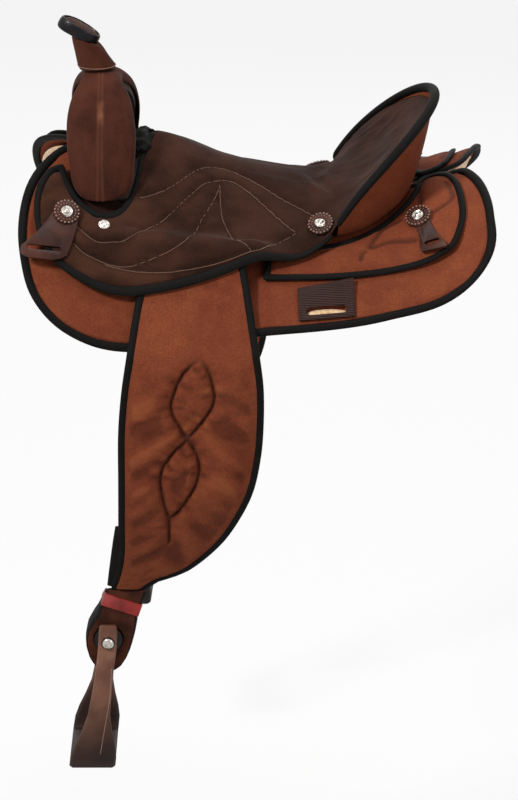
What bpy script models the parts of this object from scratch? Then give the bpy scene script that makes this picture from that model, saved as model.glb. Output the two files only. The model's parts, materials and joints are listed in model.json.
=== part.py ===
"""A western trail saddle with cordura skirts, a suede seat and quilted fenders.

+X runs to the rear, the near side is at -Y and +Z is up. The origin is where the saddle rests,
on the centreline of the rack or the back that carries it. Sizes are in millimetres.
"""
import math

import bmesh
import bpy
from mathutils import Matrix, Vector
from mathutils.bvhtree import BVHTree

MM = 0.001
SIDES = ((-1, "near"), (1, "off"))

# The form of the back: at each station the height of the spine, and how steeply the flank
# falls away at the spine and at FLANK_GIRTH down from it.
FLANK_GIRTH = 300.0
BACK_STATIONS = (-340.0, -200.0, -50.0, 100.0, 220.0, 340.0)
SPINE_HEIGHTS = (118.0, 84.0, 26.0, 8.0, 22.0, 66.0)
SPINE_FALLS = (20.0, 20.0, 8.0, 2.0, 0.0, 0.0)
FLANK_FALLS = (60.0, 62.0, 60.0, 58.0, 56.0, 52.0)

# Layers, from the horse outwards.
CLEARANCE = 0.3
FLEECE_THICK = 12.0
FLEECE_EDGE_DROP = 1.5
SKIRT_THICK = 5.7
REAR_JOCKEY_THICK = 5.0
REAR_JOCKEY_CROWN = 5.0
FENDER_THICK = 6.5
FENDER_CROWN = 5.5
SEAT_THICK = 5.5
QUILT_DEPTH = 3.2
QUILT_HALF_WIDTH = 6.0

SKIRT_BOTTOM = FLEECE_THICK + CLEARANCE
SKIRT_TOP = SKIRT_BOTTOM + SKIRT_THICK
REAR_BOTTOM = SKIRT_TOP + 2 * CLEARANCE
REAR_TOP = REAR_BOTTOM + REAR_JOCKEY_THICK
SEAT_BOTTOM = REAR_TOP + 2.6
SEAT_TOP = SEAT_BOTTOM + SEAT_THICK

# Bindings: how wide the rolled edge is and how far it stands above and below its panel.
SKIRT_BINDING = 12.0
SEAT_BINDING = 10.0
REAR_BINDING = 10.0
FENDER_BINDING = 12.0
BINDING_PROUD = 1.2
ROLL_DIP = 1.2
EVEN_REACH = 1.4

# Outlines on the flank: station along X, then girth down from the spine.
SPINE_GAP = 5.0
SKIRT_FRONT = ((-250, SPINE_GAP), (-275, 41), (-297, 82), (-309, 130), (-312, 190), (-299, 255))
SKIRT_LOW = ((-299, 255), (-273, 289), (-237, 307), (-190, 314), (-130, 302), (-58, 278),
             (24, 262), (110, 257), (216, 256), (272, 250), (318, 227))
SKIRT_REAR = ((315, SPINE_GAP), (336, 60), (349, 125), (347, 178), (318, 227))
REAR_FRONT = ((33, 130), (30, 156), (27, 184))
REAR_LOW = ((27, 184), (80, 184), (150, 187), (210, 191), (262, 192), (296, 182))
REAR_REAR = ((250, SPINE_GAP), (284, SPINE_GAP + 2), (303, 47), (310, 90), (311, 140), (296, 182))
REAR_SPINE = ((33, 130), (90, 128), (150, 119), (195, 98), (232, 57), (250, SPINE_GAP))
SKIRT_EDGES = (((-250, SPINE_GAP), (315, SPINE_GAP)), SKIRT_LOW, SKIRT_FRONT, SKIRT_REAR)
REAR_EDGES = (REAR_SPINE, REAR_LOW, REAR_FRONT, REAR_REAR)
REAR_QUILTS = (((248, 6), (246, 50), (247, 90)), ((285, 49), (292, 75), (290, 96), (267, 112)),
               ((228, 100), (194, 116), (178, 144)), ((178, 144), (205, 150), (242, 148)))

# Outlines seen from above: station along X, then distance from the centreline.
SEAT_FRONT = ((-247, 70), (-266, 77), (-281, 98), (-290, 128), (-289, 160))
SEAT_LOW = ((-289, 160), (-277, 188), (-250, 203), (-196, 216), (-154, 219), (-100, 214), (-62, 208))
SEAT_TAIL = ((-62, 208), (-20, 199), (20, 188), (66, 172), (104, 157), (128, 147))
TAIL_LIFT = 14.0
TAIL_RUN = (92.0, 128.0)
TAIL_OUT = (108.0, 145.0)
TAIL_END_SHARE = 0.15
RIDE_FRONT = (-212.0, -176.0)
RIDE_REAR = (20.0, 70.0)
RIDE_OUT = (142.0, 166.0)
CUT_OUT = ((-247, 70), (-240, 98), (-226, 119), (-209, 128), (-194, 131), (-174, 122),
           (-160, 104), (-152, 78), (-148, 45), (-138, 18), (-132, 0))

# The seat: its height along the centreline, the padded rise above the flaps and the cantle dish.
SEAT_LINE_STATIONS = (-150.0, -119.0, -90.0, -37.0, 24.0, 95.0, 150.0, 200.0, 245.0, 277.0)
SEAT_LINE_HEIGHTS = (126.0, 124.0, 116.0, 91.0, 73.0, 61.0, 66.0, 90.0, 134.0, 180.0)
SEAT_RISE_HALF_WIDTH = 158.0
SEAT_RISE_RUN = (-175.0, -140.0)
DISH_START = 55.0
DISH_END = 150.0
DISH_POWER = 2.2
DISH_FLOOR = 61.0
DISH_FLOOR_RISE = 0.12
DISH_SIDE_START = 112.0
DISH_SIDE_END = 146.0
DISH_SIDE_FADE = (120.0, 142.0)
CANTLE_CENTRE = 125.0
CANTLE_RADIUS = 152.0
CANTLE_LEAN = 36.0
CANTLE_FOOT_RADIUS = CANTLE_RADIUS - CANTLE_LEAN
RIM_LOW_HEIGHT = 18.0
RIM_TOP_HEIGHT = 182.0
RIM_POWER = 0.72
RIM_ROLL_RADIUS = 6.0
RIM_SPREAD_DEGREES = 87.0
CANTLE_BACK_THICK = 3.0
CANTLE_BACK_SKIVE = 1.2
CANTLE_BACK_BULGE = 3.0
SEAT_SPLIT = 10
SEAT_SKIVE = 0.6
SEAT_BINDING_GAP = 0.5
SEAT_BINDING_END = 1.7
SHELL_THICK = 4.0
SHELL_ROWS = (11, 20)
SHELL_COLUMNS = 5
BAR_INNER = 34.0
BAR_OUTER = 108.0
BAR_FRONT = -224.0
BAR_THICK = 26.0
BAR_DROP = 2.0
BAR_WAIST = 92.0
BAR_WAIST_RUN = (-140.0, -100.0)
BAR_NOSE_NARROWS = 22.0
BAR_NOSE_START = -195.0
BAR_LEAST_WIDTH = 8.0
BAR_CANTLE_GAP = 4.0
BAR_CANTLE_LEAD = 65.0
BAR_END_SHARE = 0.88
TREE_CANTLE_RIM_INSET = 22.0
TREE_CANTLE_FOOT_INSET = 9.0
TREE_CANTLE_WALL = 11.0
TREE_CANTLE_TOP = CANTLE_RADIUS - TREE_CANTLE_RIM_INSET
TREE_CANTLE_OUTER = CANTLE_FOOT_RADIUS - TREE_CANTLE_FOOT_INSET
TREE_CANTLE_INNER = TREE_CANTLE_OUTER - TREE_CANTLE_WALL
BAR_REACH = TREE_CANTLE_INNER - BAR_CANTLE_GAP
TREE_CANTLE_SPREAD_DEGREES = 70.0

# The fork and its cover: the arch as distance out, height and half width along X.
FORK_STATION = -198.0
FORK_ARCH = ((0, 219, 27), (24, 214, 30), (50, 197, 41), (76, 171, 47), (98, 139, 47),
             (113, 97, 41), (120, 74, 31), (123, 60, 14))
FORK_CROWN = 7.0
FORK_SHOULDER = 0.55
FORK_SHOULDER_FALL = 0.23
FORK_COVER_THICK = 3.0
FORK_COVER_DEEP = 24.0
FORK_CORE_THICK = 28.0
FORK_CORE_GAP = 1.3
FORK_CORE_STEPS = 9
FORK_FOOT_TUCK = 0.95
FORK_FOOT_HALF = 20.0

# The horn.
HORN_FOOT_STATION = -204.0
HORN_FOOT_RADIUS = 24.0
HORN_FOOT_RISE = 0.6
HORN_FOOT_FALL = 4.0
HORN_NECK_STATION = -217.0
HORN_NECK_RADIUS = 16.0
HORN_CAP_STATION = -229.0
HORN_RISE = 53.0
HORN_CAP_HEIGHT = FORK_ARCH[0][1] + HORN_RISE
HORN_CAP_RADIUS = 28.0
HORN_BAND_THICK = 3.4
HORN_CAP_THICK = 15.0
HORN_CAP_TILT = 31.0

# Fender: its upper plate lies on the skirt at FENDER_SLOPE, its panel hangs at FENDER_HANG from
# the fold between them. Outlines are station along X and millimetres above the fold.
FENDER_SLOPE = 53.0
FENDER_GIRTHS = (150.0, 315.0)
FENDER_HANG = 265.0
FENDER_FOLD_GAP = 0.2
FENDER_END_SHARE = 0.25
PLATE_TOP = ((-138, 112), (-65, 132), (4, 140))
PLATE_LEFT = ((-138, 112), (-148, 80), (-160, 0))
PLATE_RIGHT = ((4, 140), (12, 90), (25, 0))
FENDER_LEFT = ((-160, 0), (-168, -55), (-173, -115), (-174, -185), (-175, -250), (-176, -300),
               (-183, -336), (-190, -352))
FENDER_RIGHT = ((25, 0), (30, -45), (30, -100), (26, -150), (14, -205), (-13, -258),
                (-40, -291), (-78, -322), (-115, -335), (-138, -352))
FENDER_LEAVES = (((-58, 0), (-83, -25), (-97, -60), (-96, -82), (-80, -112), (-66, -136),
                  (-60, -158), (-64, -184), (-82, -218), (-103, -242)),
                 ((-58, 0), (-46, -20), (-39, -48), (-42, -70), (-60, -98), (-76, -118),
                  (-97, -140), (-112, -166), (-114, -190), (-108, -222), (-103, -242),
                  (-103, -275)))
SWING_PIVOT_STATION = -132.0
SWING_PIVOT_UP = 92.0
OFF_SWING_DEGREES = 3.6

# Neck, loop and hobble strap under the fender: heights below the fold.
NECK_THICK = 8.0
LOOP_WIDTH = 50.0
LOOP_OUTER = ((-204, -386), (-217, -408), (-220, -430), (-215, -452), (-204, -466), (-190, -471),
              (-177, -465), (-166, -448), (-158, -423), (-153, -400), (-152, -386))
LOOP_CLEARANCE = 1.2
HOBBLE_MIDDLE = -369.5
HOBBLE_HEIGHT = 14.0
HOBBLE_THICK = 3.0
HOBBLE_SLANT = -0.28

# Stirrup, relative to its bolt: drop, half spread and half depth of each branch.
BOLT_STATION = -190.0
BOLT_DROP = 419.0
BOLT_RADIUS = 5.0
BOLT_HEAD_RADIUS = 10.0
BOLT_HEAD_RISE = 4.0
SLEEVE_RADIUS = 20.0
BRANCH_THICK = 8.0
STIRRUP_LEAN = 0.135
BRANCH_PATH = ((-26, 35, 12), (-18, 35, 13.5), (14, 35, 13.5), (45, 40.5, 13), (75, 47, 14),
               (105, 54, 16), (130, 59, 22), (152, 61.5, 29), (170, 62, 33))
TREAD_DROP = 190.0
TREAD_HALF_DEPTH = 33.5
TREAD_CORNER = 14.0
TREAD_PAD_THICK = 3.0

# Straps, rosettes and conchos; places on the flank are station and girth.
STRAP_THICK = 3.4
FRONT_DEE_PLACE = (-250.0, 140.0)
FRONT_DEE_MIDDLE = (-266.0, 178.0)
FRONT_DEE_SIDES = (((-13, -14), (-18, 3), (-29, 30), (-43, 53), (-52, 66), (-50, 76), (-38, 80)),
                   ((13, -14), (18, 3), (17, 30), (15, 52), (13, 64), (4, 72), (-6, 76)))
FRONT_SLOT = (-20.0, 61.0, -8.0, 48.0, 7.0)
REAR_DEE_PLACE = (250.0, 113.0)
REAR_DEE_MIDDLE = (256.0, 150.0)
REAR_DEE_SIDES = (((-9, -11), (-12, -2), (-8, 14), (-6, 36), (-9, 56), (-8, 66)),
                  ((9, -11), (13, 0), (14, 16), (18, 38), (26, 62), (27, 72)))
REAR_SLOT = (9.0, 54.0, 3.0, 22.0, 7.0)
DEE_TURN_DEGREES = 10.0
SEAT_SEARCH = 60.0
SEAT_CONCHO_PLACE = (110.0, 122.0)
SCREW_PLACE = (-192.0, 147.0)
ROSETTE_RADIUS = 19.5
ROSETTE_SCALLOPS = 12
SCALLOP_DEPTH = 1.6
ROSETTE_THICK = 2.6
CONCHO_RADIUS = 8.0
CONCHO_RISE = 3.0
POST_RADIUS = 2.6
RIG_PLACE = (116.0, 220.0)
RIG_PLATE_LENGTH = 78.0
RIG_PLATE_HEIGHT = 44.0
RIG_PLATE_THICK = 2.6
RIG_SLOT_DROP = 9.0
RIG_SLOT_LENGTH = 56.0
RIG_SLOT_HEIGHT = 11.0


def between(low, high, share):
    return low + (high - low) * share


def smoothstep(low, high, value):
    share = min(1.0, max(0.0, (value - low) / (high - low)))
    return share * share * (3.0 - 2.0 * share)


def eased(stations, values, x):
    """The value at x of a smooth curve through the values at the stations."""
    x = min(stations[-1], max(stations[0], x))
    last = len(stations) - 1
    k = max(i for i in range(last) if stations[i] <= x)
    slopes = []
    for i in (k, k + 1):
        before, after = max(0, i - 1), min(last, i + 1)
        slopes.append((values[after] - values[before]) / (stations[after] - stations[before]))
    span = stations[k + 1] - stations[k]
    t = (x - stations[k]) / span
    return (values[k] * (2 * t**3 - 3 * t**2 + 1) + slopes[0] * span * (t**3 - 2 * t**2 + t)
            + values[k + 1] * (3 * t**2 - 2 * t**3) + slopes[1] * span * (t**3 - t**2))


def flank(x):
    """Spine height, the flank's angle at the spine, and its radius, at one station."""
    start = math.radians(eased(BACK_STATIONS, SPINE_FALLS, x))
    end = math.radians(eased(BACK_STATIONS, FLANK_FALLS, x))
    return eased(BACK_STATIONS, SPINE_HEIGHTS, x), start, FLANK_GIRTH / (end - start)


def on_flank(x, girth, rise, side):
    """A point over the back, rise millimetres out from it."""
    height, start, radius = flank(x)
    angle = start + girth / radius
    out = radius * (math.sin(angle) - math.sin(start)) + rise * math.sin(angle)
    up = height - radius * (math.cos(start) - math.cos(angle)) + rise * math.cos(angle)
    return Vector((x, side * out, up))


def flank_height(x, out, rise):
    """Height over the plan point (x, out) of the surface that lies rise over the back."""
    height, start, radius = flank(x)
    sine = min(0.999, (abs(out) + radius * math.sin(start)) / (radius + rise))
    return height - radius * math.cos(start) + (radius + rise) * math.sqrt(1.0 - sine * sine)


def chain(points, count):
    """count + 1 evenly spaced points on a smooth curve through the given points."""
    knots = [Vector(p) for p in points]
    ends = [2 * knots[0] - knots[1]] + knots + [2 * knots[-1] - knots[-2]]
    fine, steps = [], 24
    for k in range(1, len(ends) - 2):
        a, b, c, d = ends[k - 1:k + 3]
        for j in range(steps):
            t = j / steps
            fine.append(0.5 * (2 * b + (c - a) * t + (2 * a - 5 * b + 4 * c - d) * t * t
                               + (3 * b - a - 3 * c + d) * t**3))
    fine.append(knots[-1])
    run = [0.0]
    for a, b in zip(fine, fine[1:]):
        run.append(run[-1] + (b - a).length)
    result, k = [], 0
    for i in range(count + 1):
        goal = run[-1] * i / count
        while k < len(run) - 2 and run[k + 1] < goal:
            k += 1
        share = (goal - run[k]) / max(1e-9, run[k + 1] - run[k])
        result.append(fine[k].lerp(fine[k + 1], min(1.0, max(0.0, share))))
    return result


def filled(top, low, front, rear):
    """The grid that four edge curves enclose; grid[i][j] runs along top, then down."""
    n, m = len(top) - 1, len(front) - 1
    grid = []
    for i in range(n + 1):
        u = i / n
        row = []
        for j in range(m + 1):
            v = j / m
            edges = top[i] * (1 - v) + low[i] * v + front[j] * (1 - u) + rear[j] * u
            corners = (top[0] * (1 - u) + top[n] * u) * (1 - v) + (low[0] * (1 - u) + low[n] * u) * v
            row.append(edges - corners)
        grid.append(row)
    return grid


def inset(loop, distance, closed=True, hand=1.0):
    """A flat outline moved sideways by distance, inwards for a closed one."""
    count = len(loop)
    if closed:
        area = sum(loop[k].x * loop[(k + 1) % count].y - loop[(k + 1) % count].x * loop[k].y
                   for k in range(count))
        hand = 1.0 if area > 0 else -1.0
    moved = []
    for k in range(count):
        before = loop[k - 1] if closed or k else loop[0]
        after = loop[(k + 1) % count] if closed or k < count - 1 else loop[-1]
        a = (loop[k] - before)
        b = (after - loop[k])
        a = a.normalized() if a.length > 1e-6 else b.normalized()
        b = b.normalized() if b.length > 1e-6 else a
        normal = Vector((-a.y - b.y, a.x + b.x)) * hand
        normal.normalize()
        lean = max(0.5, normal.dot(Vector((-a.y, a.x)) * hand))
        moved.append(loop[k] + normal * (distance / lean))
    return moved


def drawn_in(edges, distance, closed=True, hand=1.0):
    """Edge curves, head to tail, moved inwards; each is evened out between its moved ends."""
    path = [point for edge in edges for point in edge[:-1]]
    if not closed:
        path.append(edges[-1][-1])
    moved = inset(path, distance, closed, hand)
    if closed:
        moved.append(moved[0])
    result, start = [], 0
    for edge in edges:
        count = len(edge) - 1
        part = moved[start:start + count + 1]
        result.append(evened(part, distance))
        start += count
    return result


def evened(line, distance):
    """The same line with as many points, its ends kept and their near neighbours left out."""
    reach = EVEN_REACH * distance
    kept = [p for p in line[1:-1] if min((p - line[0]).length, (p - line[-1]).length) > reach]
    return chain([line[0], *kept, line[-1]], len(line) - 1)


def distance_to(point, line):
    best = 1e9
    for a, b in zip(line, line[1:]):
        run = b - a
        share = min(1.0, max(0.0, (point - a).dot(run) / max(1e-9, run.length_squared)))
        best = min(best, (point - a - run * share).length)
    return best


def sewn(point, lines):
    """How deep the sewn channels press the padding in at a point, from 0 to 1."""
    return max(math.exp(-(distance_to(point, line) / QUILT_HALF_WIDTH)**2) for line in lines)


def material(name, colour, roughness, metallic=0.0):
    made = bpy.data.materials.new(name)
    made.use_nodes = True
    shader = made.node_tree.nodes["Principled BSDF"]
    shader.inputs["Base Color"].default_value = (*colour, 1.0)
    shader.inputs["Roughness"].default_value = roughness
    shader.inputs["Metallic"].default_value = metallic
    return made


LOOKS = {
    "cordura": ((0.195, 0.052, 0.030), 0.85, 0.0),
    "binding": ((0.018, 0.016, 0.015), 0.75, 0.0),
    "suede": ((0.040, 0.018, 0.013), 0.95, 0.0),
    "leather": ((0.090, 0.026, 0.018), 0.60, 0.0),
    "strap": ((0.062, 0.022, 0.020), 0.35, 0.0),
    "fleece": ((0.72, 0.46, 0.22), 1.0, 0.0),
    "silver": ((0.75, 0.75, 0.74), 0.25, 1.0),
    "red_leather": ((0.34, 0.028, 0.028), 0.45, 0.0),
    "stirrup": ((0.150, 0.070, 0.045), 0.50, 0.0),
    "dark_leather": ((0.030, 0.013, 0.010), 0.55, 0.0),
    "wood": ((0.42, 0.30, 0.18), 0.70, 0.0),
}


def put(name, mesh_build, look, parent=None, smooth=35.0):
    """Makes one named object of a bmesh in millimetres, under its parent's pivot."""
    bmesh.ops.recalc_face_normals(mesh_build, faces=mesh_build.faces)
    bmesh.ops.scale(mesh_build, vec=(MM, MM, MM), verts=mesh_build.verts)
    pivot = Vector(parent.matrix_world.translation) if parent else Vector((0, 0, 0))
    bmesh.ops.translate(mesh_build, vec=-pivot, verts=mesh_build.verts)
    mesh = bpy.data.meshes.new(name)
    mesh_build.to_mesh(mesh)
    mesh_build.free()
    body = bpy.data.objects.new(name, mesh)
    bpy.context.scene.collection.objects.link(body)
    body.data.materials.append(
        bpy.data.materials.get(look) or material(look, *LOOKS[look]))
    mesh.shade_smooth()
    mesh.set_sharp_from_angle(angle=math.radians(smooth))
    if parent:
        body.parent = parent
    return body


def pivot_empty(name, place, parent=None):
    """An empty on a joint's axis, which carries what moves with it."""
    empty = bpy.data.objects.new(name, None)
    empty.empty_display_size = 0.03
    bpy.context.scene.collection.objects.link(empty)
    base = Vector(parent.matrix_world.translation) if parent else Vector((0, 0, 0))
    empty.location = place * MM - base
    empty.parent = parent
    bpy.context.view_layer.update()
    return empty


def plate(name, low, high, look, steps=(1, 1), parent=None, mirrored=0):
    """A closed panel between two grids of points; the lower face's cells are steps times larger.
    The first mirrored columns are halved the other way."""
    n, m = len(high) - 1, len(high[0]) - 1
    build = bmesh.new()
    upper = [[build.verts.new(p) for p in row] for row in high]
    lower = {}

    def under(i, j):
        if (i, j) not in lower:
            lower[i, j] = build.verts.new(low[i][j])
        return lower[i, j]

    for i in range(n):
        for j in range(m):
            a, b, c, d = upper[i][j], upper[i + 1][j], upper[i + 1][j + 1], upper[i][j + 1]
            if j < mirrored:
                a, b, c, d = b, c, d, a
            build.faces.new((a, b, c))
            build.faces.new((a, c, d))
    for i in range(0, n, steps[0]):
        for j in range(0, m, steps[1]):
            i2, j2 = min(n, i + steps[0]), min(m, j + steps[1])
            lap = [(k, j) for k in range(i, i2, 1 if j == 0 else i2 - i)]
            lap += [(i2, k) for k in range(j, j2, 1 if i2 == n else j2 - j)]
            back = [(k, j2) for k in range(i2, i, -1 if j2 == m else i - i2)]
            back += [(i, k) for k in range(j2, j, -1 if i == 0 else j - j2)]
            build.faces.new([under(*c) for c in reversed(lap + back[:1])])
            build.faces.new([under(*c) for c in reversed(lap[:1] + back)])
    rim = [(i, 0) for i in range(n)] + [(n, j) for j in range(m)]
    rim += [(i, m) for i in range(n, 0, -1)] + [(0, j) for j in range(m, 0, -1)]
    for a, b in zip(rim, rim[1:] + rim[:1]):
        build.faces.new((upper[a[0]][a[1]], under(*a), upper[b[0]][b[1]]))
        build.faces.new((under(*a), under(*b), upper[b[0]][b[1]]))
    return put(name, build, look, parent)


def swept(name, sections, look, closed=False, parent=None, smooth=35.0):
    """A body through a row of sections with as many points each, halved the way plates are."""
    build = bmesh.new()
    rows = [[build.verts.new(p) for p in section] for section in sections]
    size = len(sections[0])
    pairs = list(zip(rows, rows[1:])) + ([(rows[-1], rows[0])] if closed else [])
    for a, b in pairs:
        for k in range(size):
            after = (k + 1) % size
            build.faces.new((a[k], a[after], b[after]))
            build.faces.new((a[k], b[after], b[k]))
    if not closed:
        build.faces.new(rows[0][::-1])
        build.faces.new(rows[-1])
    return put(name, build, look, parent, smooth)


def turned(name, profile, frame, look, segments=16, parent=None, smooth=35.0):
    """A round body from (radius, height) points; a first radius above 0 leaves a bore."""
    build = bmesh.new()
    rows = []
    for k in range(segments):
        angle = 2 * math.pi * k / segments
        rows.append([frame @ Vector((r * math.cos(angle), r * math.sin(angle), h))
                     for r, h in profile])
    if profile[0][0] > 0:
        rings = [[build.verts.new(p) for p in row] for row in rows]
        size = len(profile)
        for a, b in zip(rings, rings[1:] + rings[:1]):
            for j in range(size):
                build.faces.new((a[j], a[(j + 1) % size], b[(j + 1) % size], b[j]))
    else:
        first, last = build.verts.new(rows[0][0]), build.verts.new(rows[0][-1])
        rings = [[build.verts.new(p) for p in row[1:-1]] for row in rows]
        for a, b in zip(rings, rings[1:] + rings[:1]):
            build.faces.new((first, a[0], b[0]))
            for j in range(len(a) - 1):
                build.faces.new((a[j], a[j + 1], b[j + 1], b[j]))
            build.faces.new((last, b[-1], a[-1]))
    return put(name, build, look, parent, smooth)


def roll(outer, inner, place, low, highs):
    """Sections of a rolled edge between two outlines; place(point, rise) puts them in space."""
    sections = []
    for a, b, high in zip(outer, inner, highs):
        sections.append([place(b, low), place(b, high - ROLL_DIP), place(b.lerp(a, 0.5), high),
                         place(a, between(low, high, 0.5))])
    return sections


def bound_panel(edges, n, m, width):
    """Outline, the binding's inner line and the panel's grid for four edge curves."""
    top, low, front, rear = (chain(e, c) for e, c in zip(edges, (n, n, m, m)))
    lap = [top, rear, low[::-1], front[::-1]]
    outer, inner = ([p for edge in edges for p in edge[:-1]] for edges in (lap, drawn_in(lap, width)))
    top, rear, low, front = drawn_in(lap, width + CLEARANCE)
    return outer, inner, filled(top, low[::-1], front[::-1], rear)


def slot_cutter(name, frame, length, height, depth):
    """A round-ended cutter, centred in its frame, that goes depth each way."""
    build = bmesh.new()
    radius = height / 2 - 0.01
    turns = 6
    outline = []
    for end in (1, -1):
        for k in range(turns + 1):
            angle = -math.pi / 2 + math.pi * k / turns
            outline.append((end * (length / 2 - radius + radius * math.cos(angle)),
                            end * radius * math.sin(angle)))
    rows = [[build.verts.new(frame @ Vector((x, y, z))) for x, y in outline] for z in (-depth, depth)]
    for k in range(len(outline)):
        after = (k + 1) % len(outline)
        build.faces.new((rows[0][k], rows[0][after], rows[1][after], rows[1][k]))
    build.faces.new(rows[0][::-1])
    build.faces.new(rows[1])
    cutter = put(name, build, "binding")
    cutter.hide_render = True
    cutter.display_type = "WIRE"
    return cutter


def cut(body, cutter, reach="DIFFERENCE"):
    modifier = body.modifiers.new("slot", "BOOLEAN")
    modifier.operation = reach
    modifier.solver = "EXACT"
    modifier.object = cutter


def frame_of(first, second, third, place):
    """A frame from its three axes and its origin."""
    made = Matrix.Identity(4)
    for column, axis in enumerate((first, second, third, place)):
        for row in range(3):
            made[row][column] = axis[row]
    return made


def flank_frame(x, girth, rise, side):
    """A frame on the flank: first axis to the rear, second down the flank, third outwards."""
    place = on_flank(x, girth, rise, side)
    back = (on_flank(x + 1, girth, rise, side) - on_flank(x - 1, girth, rise, side)).normalized()
    down = on_flank(x, girth + 1, rise, side) - on_flank(x, girth - 1, rise, side)
    out = (back.cross(down) * side).normalized()
    return frame_of(back, (out.cross(back) * side).normalized(), out, place)


def fender_reach():
    """How far out the fender's upper plate lies to clear the skirt everywhere under it."""
    slope = math.radians(FENDER_SLOPE)
    left, right = FENDER_LEFT[0][0], FENDER_RIGHT[1][0]
    reach = 0.0
    for i in range(13):
        x = between(left, right, i / 12)
        for j in range(31):
            point = on_flank(x, between(*FENDER_GIRTHS, j / 30), SKIRT_TOP + BINDING_PROUD, 1)
            reach = max(reach, point.y * math.sin(slope) + point.z * math.cos(slope))
    return reach + 2 * CLEARANCE


SLOPE = math.radians(FENDER_SLOPE)
PLATE_REACH = fender_reach()
FOLD_HEIGHT = (PLATE_REACH + FENDER_THICK - FENDER_HANG * math.sin(SLOPE)) / math.cos(SLOPE)
FOLD_MITRE = FENDER_THICK * math.tan((math.pi / 2 - SLOPE) / 2)
RIM_CENTRE_RADIUS = CANTLE_RADIUS - RIM_ROLL_RADIUS
DISH_RADIUS = RIM_CENTRE_RADIUS - RIM_ROLL_RADIUS - CLEARANCE


def rim_height(x):
    """Height of the cantle rim, which climbs steeply at its ends and evenly to the top."""
    share = max(0.0, (x - CANTLE_CENTRE) / CANTLE_RADIUS)**RIM_POWER
    return between(RIM_LOW_HEIGHT, RIM_TOP_HEIGHT, share)


def flap_height(x, out):
    """Top of the flaps, which lie on the skirts and ride up over the fender's upper plate."""
    plain = flank_height(x, out, SEAT_TOP)
    plain += TAIL_LIFT * smoothstep(*TAIL_RUN, x) * smoothstep(*TAIL_OUT, abs(out))
    over = PLATE_REACH + FENDER_THICK + 2 * CLEARANCE + SEAT_THICK
    ridden = (over - abs(out) * math.sin(SLOPE)) / math.cos(SLOPE)
    share = smoothstep(*RIDE_OUT, abs(out))
    share *= smoothstep(*RIDE_FRONT, x) * (1.0 - smoothstep(*RIDE_REAR, x))
    return plain + max(0.0, ridden - plain) * share


def seat_height(x, out):
    """Top of the suede over the plan point (x, out)."""
    out = abs(out)
    flap = flap_height(x, out)
    middle = eased(SEAT_LINE_STATIONS, SEAT_LINE_HEIGHTS, x) - flank_height(x, 0.0, SEAT_TOP)
    swell = max(0.0, 1.0 - (out / SEAT_RISE_HALF_WIDTH)**2)**2
    rise = smoothstep(*SEAT_RISE_RUN, x) * middle * swell
    floor = DISH_FLOOR + DISH_FLOOR_RISE * (x - CANTLE_CENTRE)
    radius = math.hypot(max(0.0, x - CANTLE_CENTRE), out) / DISH_RADIUS
    dish = floor + (rim_height(x) - floor) * radius**DISH_POWER
    share = smoothstep(DISH_START, DISH_END, x)
    edge = smoothstep(DISH_SIDE_START, DISH_SIDE_END, out) * (1.0 - smoothstep(*DISH_SIDE_FADE, x))
    return between(flap + rise, dish, share * (1.0 - edge))


def on_seat(point, rise, side, height=seat_height):
    """A point over the plan point, rise millimetres out from the suede's top."""
    x, out = point[0], point[1]
    step = 1.0
    slope_x = (height(x + step, out) - height(x - step, out)) / (2 * step)
    slope_y = (height(x, out + step) - height(x, out - step)) / (2 * step)
    normal = Vector((-slope_x, -slope_y * side, 1.0)).normalized()
    return Vector((x, side * out, height(x, out))) + normal * rise


def under_seat(x, out, depth):
    """Height of the surface that lies depth under the suede's top."""
    step = 1.0
    slope_x = (seat_height(x + step, out) - seat_height(x - step, out)) / (2 * step)
    slope_y = (seat_height(x, out + step) - seat_height(x, out - step)) / (2 * step)
    return seat_height(x, out) - depth * math.sqrt(1.0 + slope_x**2 + slope_y**2)


def bar_top(x, out):
    """Top of the tree's bars: under the ground seat, or BAR_THICK over the skirts."""
    depth = SEAT_THICK + SHELL_THICK + BAR_DROP
    return min(flank_height(x, out, SKIRT_TOP + CLEARANCE + BAR_THICK), under_seat(x, out, depth))


def make_skirt(side, tag):
    """Fleece lining, cordura skirt and its rolled binding."""
    n, m = 22, 8
    outer, inner, panel = bound_panel(SKIRT_EDGES, n, m, SKIRT_BINDING)

    def lay(point, rise):
        return on_flank(point.x, point.y, rise, side)

    skirt = plate("skirt_" + tag, [[lay(p, SKIRT_BOTTOM) for p in row] for row in panel],
                  [[lay(p, SKIRT_TOP) for p in row] for row in panel], "cordura", (2, 2))
    lining = [row[::2] for row in panel[::2]]
    last = (len(lining) - 1, len(lining[0]) - 1)
    top = [[lay(p, FLEECE_THICK - (FLEECE_EDGE_DROP if i in (0, last[0]) or j in (0, last[1]) else 0))
            for j, p in enumerate(row)] for i, row in enumerate(lining)]
    plate("fleece_" + tag, [[lay(p, 0.0) for p in row] for row in lining], top, "fleece")
    highs = [SKIRT_TOP] * (n + 1) + [SKIRT_TOP + BINDING_PROUD] * (len(outer) - n - 1)
    edge = swept("skirt_binding_" + tag, roll(outer, inner, lay, SKIRT_BOTTOM, highs),
                 "binding", True)
    return [skirt, edge]


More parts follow.
